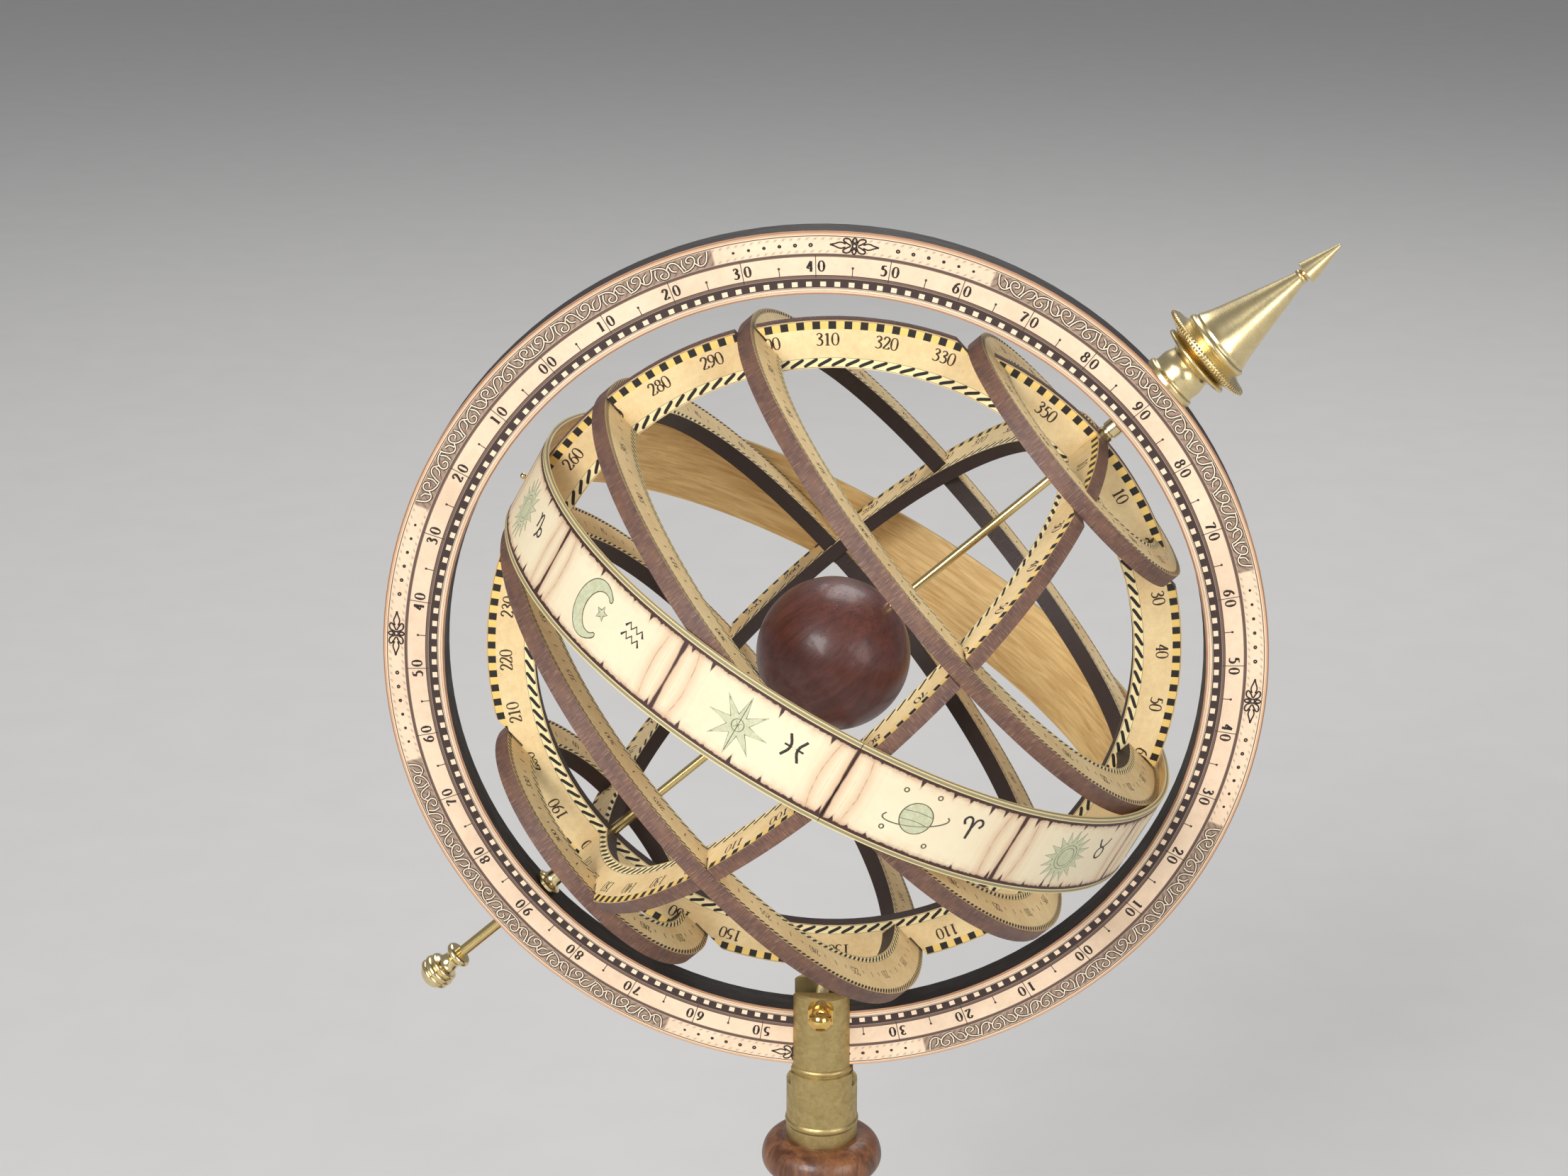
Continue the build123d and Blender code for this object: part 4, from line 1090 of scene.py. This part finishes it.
SCROLL: tuple[Stroke, ...] = (
    curve((0.0, -1.7), (1.8, -1.5), (3.6, -0.2), (3.7, 1.3), (2.3, 1.7), (1.6, 0.7), (2.5, 0.2)),
    curve((3.6, -0.2), (4.8, -1.4), (6.2, -1.2), (7.2, 0.4), (7.6, 1.7)),
    curve((4.5, -0.9), (4.9, 0.5), (6.0, 1.1)),
    curve((0.9, -1.3), (0.3, 0.2), (0.6, 1.6)),
)
PALMETTE: tuple[Stroke, ...] = (
    circle(0.0, 0.0, 0.55),
    curve((0.5, 0.3), (1.5, 1.8), (2.9, 1.5), (2.1, 0.7), (0.9, 0.1)),
    curve((0.5, -0.3), (1.5, -1.8), (2.9, -1.5), (2.1, -0.7), (0.9, -0.1)),
    curve((-0.5, 0.3), (-1.5, 1.8), (-2.9, 1.5), (-2.1, 0.7), (-0.9, 0.1)),
    curve((-0.5, -0.3), (-1.5, -1.8), (-2.9, -1.5), (-2.1, -0.7), (-0.9, -0.1)),
    curve((0.0, 0.6), (0.5, 1.4), (0.0, 2.1), (-0.5, 1.4), (0.0, 0.6)),
    curve((0.0, -0.6), (0.5, -1.4), (0.0, -2.1), (-0.5, -1.4), (0.0, -0.6)),
    curve((2.3, 0.4), (3.6, 0.8), (5.2, 0.3), (6.4, 0.0)),
    curve((2.3, -0.4), (3.6, -0.8), (5.2, -0.3), (6.4, 0.0)),
    curve((-2.3, 0.4), (-3.6, 0.8), (-5.2, 0.3), (-6.4, 0.0)),
    curve((-2.3, -0.4), (-3.6, -0.8), (-5.2, -0.3), (-6.4, 0.0)),
)


@dataclass
class MeridianRing:
    """The graduated ring in the fork: core, two printed cards, their numbers and ornament."""

    front: Axes = Axes(RING_CENTRE, NORTH, Vector((0.0, -1.0, 0.0)))
    rear: Axes = Axes(RING_CENTRE, NORTH, Vector((0.0, 1.0, 0.0)))
    face: float = 5.0
    number_foot: float = 109.35
    number_height: float = 2.75
    ornament_radius: float = 116.3
    scroll_length: float = 7.6
    scroll_span: float = 28.0
    digit_places: tuple[float, float] = (-0.86, 0.24)
    dot_start: float = 5.6
    dot_step: float = 2.0
    dot_radii: tuple[float, ...] = tuple(0.36 - index * 0.04 for index in range(6))

    def dress(self) -> None:
        """Gives the ring and its cards their finishes."""
        paint("meridian_ring", RingBoard("ring_board", self.front))
        paint("front_scale_card", ScalePaper("scale_paper_front", self.front))
        paint("rear_scale_card", ScalePaper("scale_paper_rear", self.rear))

    def build(self) -> None:
        """Builds the numbers and the ornament of both faces."""
        dark = Ink("scale_ink", tint(34, 24, 22), tint(58, 42, 36)).material()
        pale = Ink("scale_highlight", tint(246, 230, 206), tint(228, 206, 178)).material()
        for side, axes in (("front", self.front), ("rear", self.rear)):
            face = axes.raised(self.face)
            pens = (
                (Pen(f"{side}_scale_numbers", dark, thick=0.36, thin=0.15), self._numbers),
                (Pen(f"{side}_scrollwork_shade", dark, thick=0.42, thin=0.4, rise=0.02), self._scrolls),
                (Pen(f"{side}_scrollwork", pale, thick=0.27, thin=0.22, rise=0.05), self._scrolls),
                (Pen(f"{side}_scale_palmettes", dark, thick=0.24, thin=0.2), self._palmettes),
            )
            for pen, draw in pens:
                draw(pen)
                keep(lay_flat(pen.build(), face, "meridian"))

    def _numbers(self, pen: Pen) -> None:
        """Writes 90 at the poles down to 0 midway, each number split by its tick."""
        for step in range(36):
            degrees = step * 10.0
            value = round(abs(90 - min(degrees, 360 - degrees)))
            spot, along, up = ring_spot(degrees, self.number_foot)
            for digit, shift in zip(f"{value:02d}", self.digit_places):
                move = shift * self.number_height
                origin = (spot[0] + along[0] * move, spot[1] + along[1] * move)
                pen.draw(DIGITS[digit], origin, along, up, self.number_height)

    def _scrolls(self, pen: Pen) -> None:
        """Draws a running scroll both ways from each of the four cardinal points."""
        step = math.degrees(self.scroll_length / self.ornament_radius)
        units = int(self.scroll_span / step)
        for cardinal in range(0, 360, 90):
            for way in (1, -1):
                for unit in range(units):
                    spot, along, up = ring_spot(cardinal + way * unit * step, self.ornament_radius)
                    run = (-along[0] * way, -along[1] * way)
                    flip = 1 if unit % 2 == 0 else -1
                    pen.draw(SCROLL, spot, run, (up[0] * flip, up[1] * flip), 1.0)

    def _palmettes(self, pen: Pen) -> None:
        """Draws a palmette between each two cardinal points, with shrinking dots beside it."""
        for middle in range(45, 360, 90):
            spot, along, up = ring_spot(middle, self.ornament_radius)
            pen.draw(PALMETTE, spot, along, up, 1.0)
            for way in (1, -1):
                for index, radius in enumerate(self.dot_radii):
                    away = way * (self.dot_start + index * self.dot_step)
                    spot, along, up = ring_spot(middle + away, self.ornament_radius)
                    pen.draw((circle(0.0, 0.0, radius),), spot, along, up, 1.0)


def keep(piece: bpy.types.Object) -> None:
    """Reports a finished piece."""
    log.info("made %s: %d faces", piece.name, len(piece.data.polygons))


def paint(node: str, finish: Any) -> None:
    """Gives a CAD node its finish.

    Args:
        node: The node's name.
        finish: The finish, which makes the material.
    """
    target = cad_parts[node]
    material = finish.material()
    target.data.materials.clear()
    target.data.materials.append(material)
    log.info("dressed %s as %s", node, material.name)


@dataclass(frozen=True)
class Hoop:
    """One ring of the cage that lies square to the rod."""

    node: str
    height: float
    width: float


@dataclass
class Cage:
    """The turning cage: two colures, five hoops and their printed numbers."""

    sphere: float = 94.3
    colure_width: float = 13.0
    colure_half: float = 2.0
    hoop_half: float = 2.3
    number_foot: float = 87.4
    number_height: float = 3.3
    hoop_number_height: float = 2.3
    hoop_number_drop: float = 1.2
    hoop_tick: float = 1.6
    large_hoop: float = 60.0
    hoops: tuple[Hoop, ...] = (
        Hoop("arctic_circle", 84.80, 11.0),
        Hoop("tropic_of_cancer", 42.20, 12.0),
        Hoop("equator_ring", 0.0, 12.0),
        Hoop("tropic_of_capricorn", -42.20, 12.0),
        Hoop("antarctic_circle", -84.80, 11.0),
    )

    def dress(self) -> None:
        """Gives the seven rings their finishes."""
        main = Axes(CAGE_CENTRE, NORTH, CAGE_B)
        cross = Axes(CAGE_CENTRE, NORTH, CAGE_A)
        size = (self.sphere, self.colure_width, Border.CHECKER)
        paint("solstitial_colure", CageBoard("cage_board_solstitial", main, *size))
        paint("equinoctial_colure", CageBoard("cage_board_equinoctial", cross, *size))
        for hoop in self.hoops:
            axes = Axes(CAGE_CENTRE, CAGE_A, NORTH).raised(hoop.height)
            radius = math.sqrt(self.sphere**2 - hoop.height**2)
            paint(hoop.node, CageBoard(f"cage_board_{hoop.node}", axes, radius, hoop.width, Border.ROPE))

    def build(self) -> None:
        """Builds the numbers on both faces of every ring."""
        brown = Ink("cage_ink", tint(58, 40, 28), tint(88, 64, 44)).material()
        grey = Ink("cage_ink_pale", tint(84, 66, 48), tint(128, 104, 76)).material()
        sides = (
            ("solstitial_colure_front", CAGE_B),
            ("solstitial_colure_rear", -CAGE_B),
            ("equinoctial_colure_left", CAGE_A),
            ("equinoctial_colure_right", -CAGE_A),
        )
        for name, axis in sides:
            pen = Pen(f"{name}_numbers", brown, thick=0.29, thin=0.12)
            for value in range(0, 360, 10):
                write(pen, str(value), -value, self.number_foot, self.number_height)
            face = Axes(CAGE_CENTRE, NORTH, axis).raised(self.colure_half)
            keep(lay_flat(pen.build(), face, "cage"))
        for hoop in self.hoops:
            radius = math.sqrt(self.sphere**2 - hoop.height**2)
            for side, way in (("upper", 1.0), ("lower", -1.0)):
                pen = Pen(f"{hoop.node}_{side}_numbers", grey, thick=0.24, thin=0.12)
                self._hoop_numbers(pen, radius, hoop.width)
                centre = CAGE_CENTRE + NORTH * (hoop.height + way * self.hoop_half) * MM
                axes = Axes(centre, CAGE_A, NORTH * way)
                keep(lay_flat(pen.build(), axes, "cage"))

    def _hoop_numbers(self, pen: Pen, radius: float, width: float) -> None:
        """Writes a hoop's degrees with a tick between each two."""
        count = 24 if radius > self.large_hoop else 12
        foot = radius - width / 2 - self.hoop_number_drop
        for index in range(count):
            degrees = index * 360.0 / count
            clear = min(degrees % 90, 90 - degrees % 90)
            if clear > 3:
                write(pen, str(round(360 - degrees)), degrees, foot, self.hoop_number_height)
            for part in range(1, 4):
                spot, along, up = ring_spot(degrees + part * 90.0 / count, foot + 0.3)
                tick = bar((0.0, 0.0), (0.0, 1.0 if part == 2 else 0.6))
                pen.draw((tick,), spot, along, up, self.hoop_tick)


class Emblem(Enum):
    """The plain emblems that take turns on the band's sheets."""

    SUN = 0
    MOON = 1
    STAR = 2
    PLANET = 3


def emblem_outline(emblem: Emblem) -> tuple[tuple[Stroke, ...], tuple[tuple[Point, ...], ...]]:
    """An emblem's lines and filled shapes, in parts of its half height.

    Args:
        emblem: Which emblem.

    Returns:
        The lines, and the outlines of the filled shapes.
    """
    def ring(radius: float, count: int, start: float = 0.0, x: float = 0.0, y: float = 0.0) -> list[Point]:
        """Returns points on a circle."""
        turns = [start + 2 * math.pi * i / count for i in range(count)]
        return [(x + radius * math.cos(t), y + radius * math.sin(t)) for t in turns]

    def star(outer: float, inner: float, count: int, x: float = 0.0, y: float = 0.0) -> tuple[Point, ...]:
        """Returns the outline of a star."""
        tips = ring(outer, count, math.pi / 2, x, y)
        dips = ring(inner, count, math.pi / 2 + math.pi / count, x, y)
        return tuple(p for pair in zip(tips, dips) for p in pair)

    if emblem is Emblem.SUN:
        shape = star(1.0, 0.56, 16)
        lines = [Stroke(shape, closed=True, straight=True), circle(0.0, 0.0, 0.46), circle(0.0, 0.0, 0.34)]
        return tuple(lines), (shape,)
    if emblem is Emblem.MOON:
        outer = [(0.78 * math.cos(t), 0.95 * math.sin(t)) for t in np.linspace(0.75, 2 * math.pi - 0.75, 19)]
        inner = [(0.22 + 0.55 * math.cos(t), 0.68 * math.sin(t)) for t in np.linspace(2 * math.pi - 0.95, 0.95, 15)]
        shape = tuple(outer + inner)
        small = star(0.24, 0.1, 5, 0.42, 0.1)
        return (Stroke(shape, closed=True), Stroke(small, closed=True, straight=True)), (shape, small)
    if emblem is Emblem.STAR:
        shape = star(1.0, 0.34, 8)
        spokes = [bar((0.0, 0.0), tip) for tip in ring(0.9, 8, math.pi / 2)]
        return (Stroke(shape, closed=True, straight=True), circle(0.0, 0.0, 0.2), *spokes), (shape,)
    globe = tuple(ring(0.52, 24))
    turns = np.linspace(2.75, 2 * math.pi + 0.4, 17)
    belt = [(math.cos(t), 0.28 * math.sin(t) + 0.3 * math.cos(t)) for t in turns]
    dots = [circle(x, y, 0.07) for x, y in ((-0.75, 0.75), (0.7, -0.75), (-0.85, -0.65), (0.35, 0.9))]
    bands = [curve((-0.5, 0.14), (0.0, 0.22), (0.48, 0.2)), curve((-0.5, -0.16), (0.0, -0.1), (0.5, -0.14))]
    return (Stroke(globe, closed=True), Stroke(tuple(belt)), *dots, *bands), (globe,)


@dataclass
class ZodiacBand:
    """The slanting band with its signs, emblems and pins."""

    axes: Axes = Axes(BAND_CENTRE, BAND_LOW, BAND_POLE)
    radius: float = 95.95
    sign_height: float = 6.2
    sign_place: Point = (8.0, -0.8)
    emblem_half: float = 8.2
    emblem_place: Point = (-3.6, -0.2)
    sheets: int = 12

    def dress(self) -> None:
        """Gives the band and its pins their finishes."""
        paint("zodiac_band", BandPrint("band_veneer", self.axes, self.radius))
        tints = (tint(238, 214, 150), tint(186, 150, 92))
        paint("band_pins", Brass("pin_brass", *tints, polish=0.14, wear=0.3, axes=self.axes))

    def build(self) -> None:
        """Builds the signs, the emblems' lines and their washes."""
        ink = Ink("sign_ink", tint(40, 34, 32), tint(70, 60, 54)).material()
        line = Ink("emblem_line", tint(84, 80, 62), tint(120, 114, 90)).material()
        wash = Ink("emblem_wash", tint(184, 186, 150), tint(206, 206, 174)).material()
        signs = Pen("zodiac_signs", ink, thick=0.36, thin=0.26)
        lines = Pen("emblem_lines", line, thick=0.21, thin=0.16, rise=0.05)
        outlines: list[list[Point]] = []
        panel = math.radians(360.0 / self.sheets) * self.radius
        level, upright = (1.0, 0.0), (0.0, 1.0)
        for index, sign in enumerate(SIGNS):
            middle = (index + 0.5) * panel
            spot = (middle + self.sign_place[0], self.sign_place[1])
            signs.draw(sign, spot, level, upright, self.sign_height)
            strokes, shapes = emblem_outline(Emblem(index % len(Emblem)))
            centre = (middle + self.emblem_place[0], self.emblem_place[1])
            lines.draw(strokes, centre, level, upright, self.emblem_half)
            half = self.emblem_half
            for shape in shapes:
                outlines.append([(centre[0] + x * half, centre[1] + y * half) for x, y in shape])
        keep(bend_round(signs.build(), self.axes, self.radius, "cage"))
        keep(bend_round(lines.build(), self.axes, self.radius, "cage"))
        keep(bend_round(self._wash(outlines, wash), self.axes, self.radius, "cage"))

    @staticmethod
    def _wash(outlines: list[list[Point]], ink: bpy.types.Material) -> bpy.types.Object:
        """Fills outlines with a flat wash of ink.

        Args:
            outlines: The shapes, in millimetres.
            ink: The wash's material.

        Returns:
            The mesh, in metres.
        """
        bpy.ops.object.select_all(action="DESELECT")
        bpy.ops.curve.primitive_bezier_curve_add()
        drawn = bpy.context.object
        drawn.name = "emblem_washes"
        data = drawn.data
        data.splines.clear()
        data.dimensions = "2D"
        data.fill_mode = "BOTH"
        data.extrude = 0.025
        for outline in outlines:
            spline = data.splines.new("POLY")
            spline.points.add(len(outline) - 1)
            spline.use_cyclic_u = True
            for knot, place in zip(spline.points, outline):
                knot.co = (place[0], place[1], 0.0, 1.0)
        bpy.ops.object.convert(target="MESH")
        sheet = bpy.context.object
        bpy.ops.object.mode_set(mode="EDIT")
        bpy.ops.mesh.select_all(action="SELECT")
        bpy.ops.mesh.subdivide(number_cuts=6)
        bpy.ops.object.mode_set(mode="OBJECT")
        sheet.data.transform(Matrix.Diagonal((MM, MM, MM, 1.0)))
        sheet.data.materials.clear()
        sheet.data.materials.append(ink)
        return sheet


@dataclass
class BrassWork:
    """Rod, sleeve, collars, knob and finial."""

    rod: Axes = Axes(RING_CENTRE, UPRIGHT, NORTH)
    bright: Colour = tint(238, 220, 170)
    shaded: Colour = tint(196, 164, 104)
    rod_tints: tuple[Colour, Colour] = (tint(228, 202, 138), tint(190, 162, 106))

    def dress(self) -> None:
        """Gives the turned brass its finishes."""
        tints = (self.bright, self.shaded)
        for node in ("finial_foot", "finial_rosette", "finial_spire", "finial_arrow"):
            finish = Brass(f"bright_brass_{node}", *tints, polish=0.24, wear=0.35, axes=self.rod)
            paint(node, finish)
        for node in ("south_knob", "north_collar", "south_collar", "ball_collars"):
            finish = Brass(f"bright_brass_{node}", *tints, polish=0.17, wear=0.3, axes=self.rod)
            paint(node, finish)
        for node in ("polar_rod", "drive_sleeve"):
            look = {"polish": 0.2, "wear": 0.15, "axes": self.rod, "turning": 0.1}
            finish = Brass(f"rod_brass_{node}", *self.rod_tints, **look)
            paint(node, finish)


@dataclass
class Stand:
    """Turned stand with its fork, bolt, nut, pad, and the ball on the rod."""

    mast: Axes = Axes(Vector((0.0, 0.0, 0.0)), Vector((1.0, 0.0, 0.0)), Vector((0.0, 0.0, 1.0)))
    ball: Axes = Axes(CAGE_CENTRE, CAGE_A, NORTH)

    def dress(self) -> None:
        """Gives the stand and the ball their finishes."""
        tints = (tint(198, 176, 122), tint(160, 138, 90))
        look = {"polish": 0.38, "wear": 0.7, "fineness": 1.4, "turning": 2.0}
        paint("ring_fork", Brass("fork_brass", *tints, axes=self.mast, **look))
        tints = (tint(246, 208, 124), tint(168, 118, 52))
        paint("acorn_nut", Brass("nut_brass", *tints, polish=0.09, wear=0.3, axes=self.mast))
        paint("clamp_bolt", Steel("bolt_steel"))
        for node, shift in (("stand_column", 0.0), ("stand_base", 0.02)):
            centre = self.mast.centre + Vector((shift, 0.0, shift))
            axes = Axes(centre, self.mast.start, self.mast.axis)
            colours = (tint(148, 98, 62), tint(88, 52, 34), tint(46, 28, 20))
            paint(node, VarnishedWood(f"turned_wood_{node}", *colours, axes, stretch=0.16, gloss=0.34, rubbed=0.4))
        colours = (tint(106, 58, 48), tint(86, 46, 40), tint(54, 28, 26))
        paint("earth_ball", VarnishedWood("ball_wood", *colours, self.ball, stretch=0.22, gloss=0.34, rubbed=0.25))
        paint("felt_pad", Felt("felt"))


@dataclass
class Studio:
    """Pale floor, soft lights and the camera."""

    lens: float = 71.609
    place: tuple[float, float, float] = (0.0284, -0.79875, 0.5736)
    pitch: float = 71.483
    heading: float = 2.81
    sensor: float = 36.0
    floor_side: float = 14.0
    aim: tuple[float, float, float] = (0.0, 0.0, 0.26)
    air: Colour = (0.27, 0.27, 0.28, 1.0)

    def camera(self) -> None:
        """Sets the camera at the photograph's viewing angle."""
        data = bpy.data.cameras.new("camera")
        data.lens = self.lens
        data.sensor_width = self.sensor
        data.sensor_fit = "HORIZONTAL"
        data.clip_start = 0.01
        camera = bpy.data.objects.new("camera", data)
        camera.location = self.place
        camera.rotation_euler = (math.radians(self.pitch), 0.0, math.radians(self.heading))
        bpy.context.scene.collection.objects.link(camera)
        bpy.context.scene.camera = camera

    def lamp(self, name: str, place: Vector, target: Vector, size: float, power: float) -> None:
        """Adds a square soft lamp.

        Args:
            name: The lamp's name.
            place: Where it hangs.
            target: Where it looks.
            size: Its side in metres.
            power: Its power in watts.
        """
        data = bpy.data.lights.new(name, "AREA")
        data.size = size
        data.energy = power
        lamp = bpy.data.objects.new(name, data)
        lamp.location = place
        lamp.rotation_euler = (target - place).to_track_quat("-Z", "Y").to_euler()
        bpy.context.scene.collection.objects.link(lamp)

    def build(self) -> None:
        """Builds the floor, the lamps and the world."""
        bpy.ops.object.select_all(action="DESELECT")
        bpy.ops.mesh.primitive_plane_add(size=self.floor_side, location=(0.0, 0.0, 0.0))
        floor = bpy.context.object
        floor.name = "studio_floor"
        made, w, shader = Finish("floor").start()
        source = w.add("ShaderNodeTexCoord").outputs["Object"]
        grain = w.noise(source, 30.0, 3.0)
        w.feed(shader.inputs["Base Color"], w.mix(grain, tint(196, 195, 193), tint(202, 201, 199)))
        shader.inputs["Roughness"].default_value = 0.85
        floor.data.materials.append(made)
        target = Vector(self.aim)
        self.lamp("key", Vector((-1.1, -2.1, 1.55)), target, size=1.3, power=68.0)
        self.lamp("fill", Vector((1.7, -1.85, 0.95)), target, size=1.4, power=24.0)
        self.lamp("top", Vector((0.2, 1.2, 1.9)), target, size=1.3, power=22.0)
        world = bpy.data.worlds.new("studio")
        world.use_nodes = True
        background = world.node_tree.nodes["Background"]
        background.inputs["Color"].default_value = self.air
        background.inputs["Strength"].default_value = 1.0
        bpy.context.scene.world = world
        bpy.context.scene.view_settings.view_transform = "Standard"


def main() -> None:
    """Builds and dresses the armillary sphere."""
    logging.basicConfig(level=logging.INFO, format="%(name)s: %(message)s")
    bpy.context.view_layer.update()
    studio = Studio()
    studio.camera()
    effects.build()
    meridian, cage, band = MeridianRing(), Cage(), ZodiacBand()
    for assembly in (Stand(), meridian, cage, band, BrassWork()):
        assembly.dress()
    for assembly in (meridian, cage, band):
        assembly.build()
    studio.build()
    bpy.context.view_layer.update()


if __name__ == "__main__":
    main()
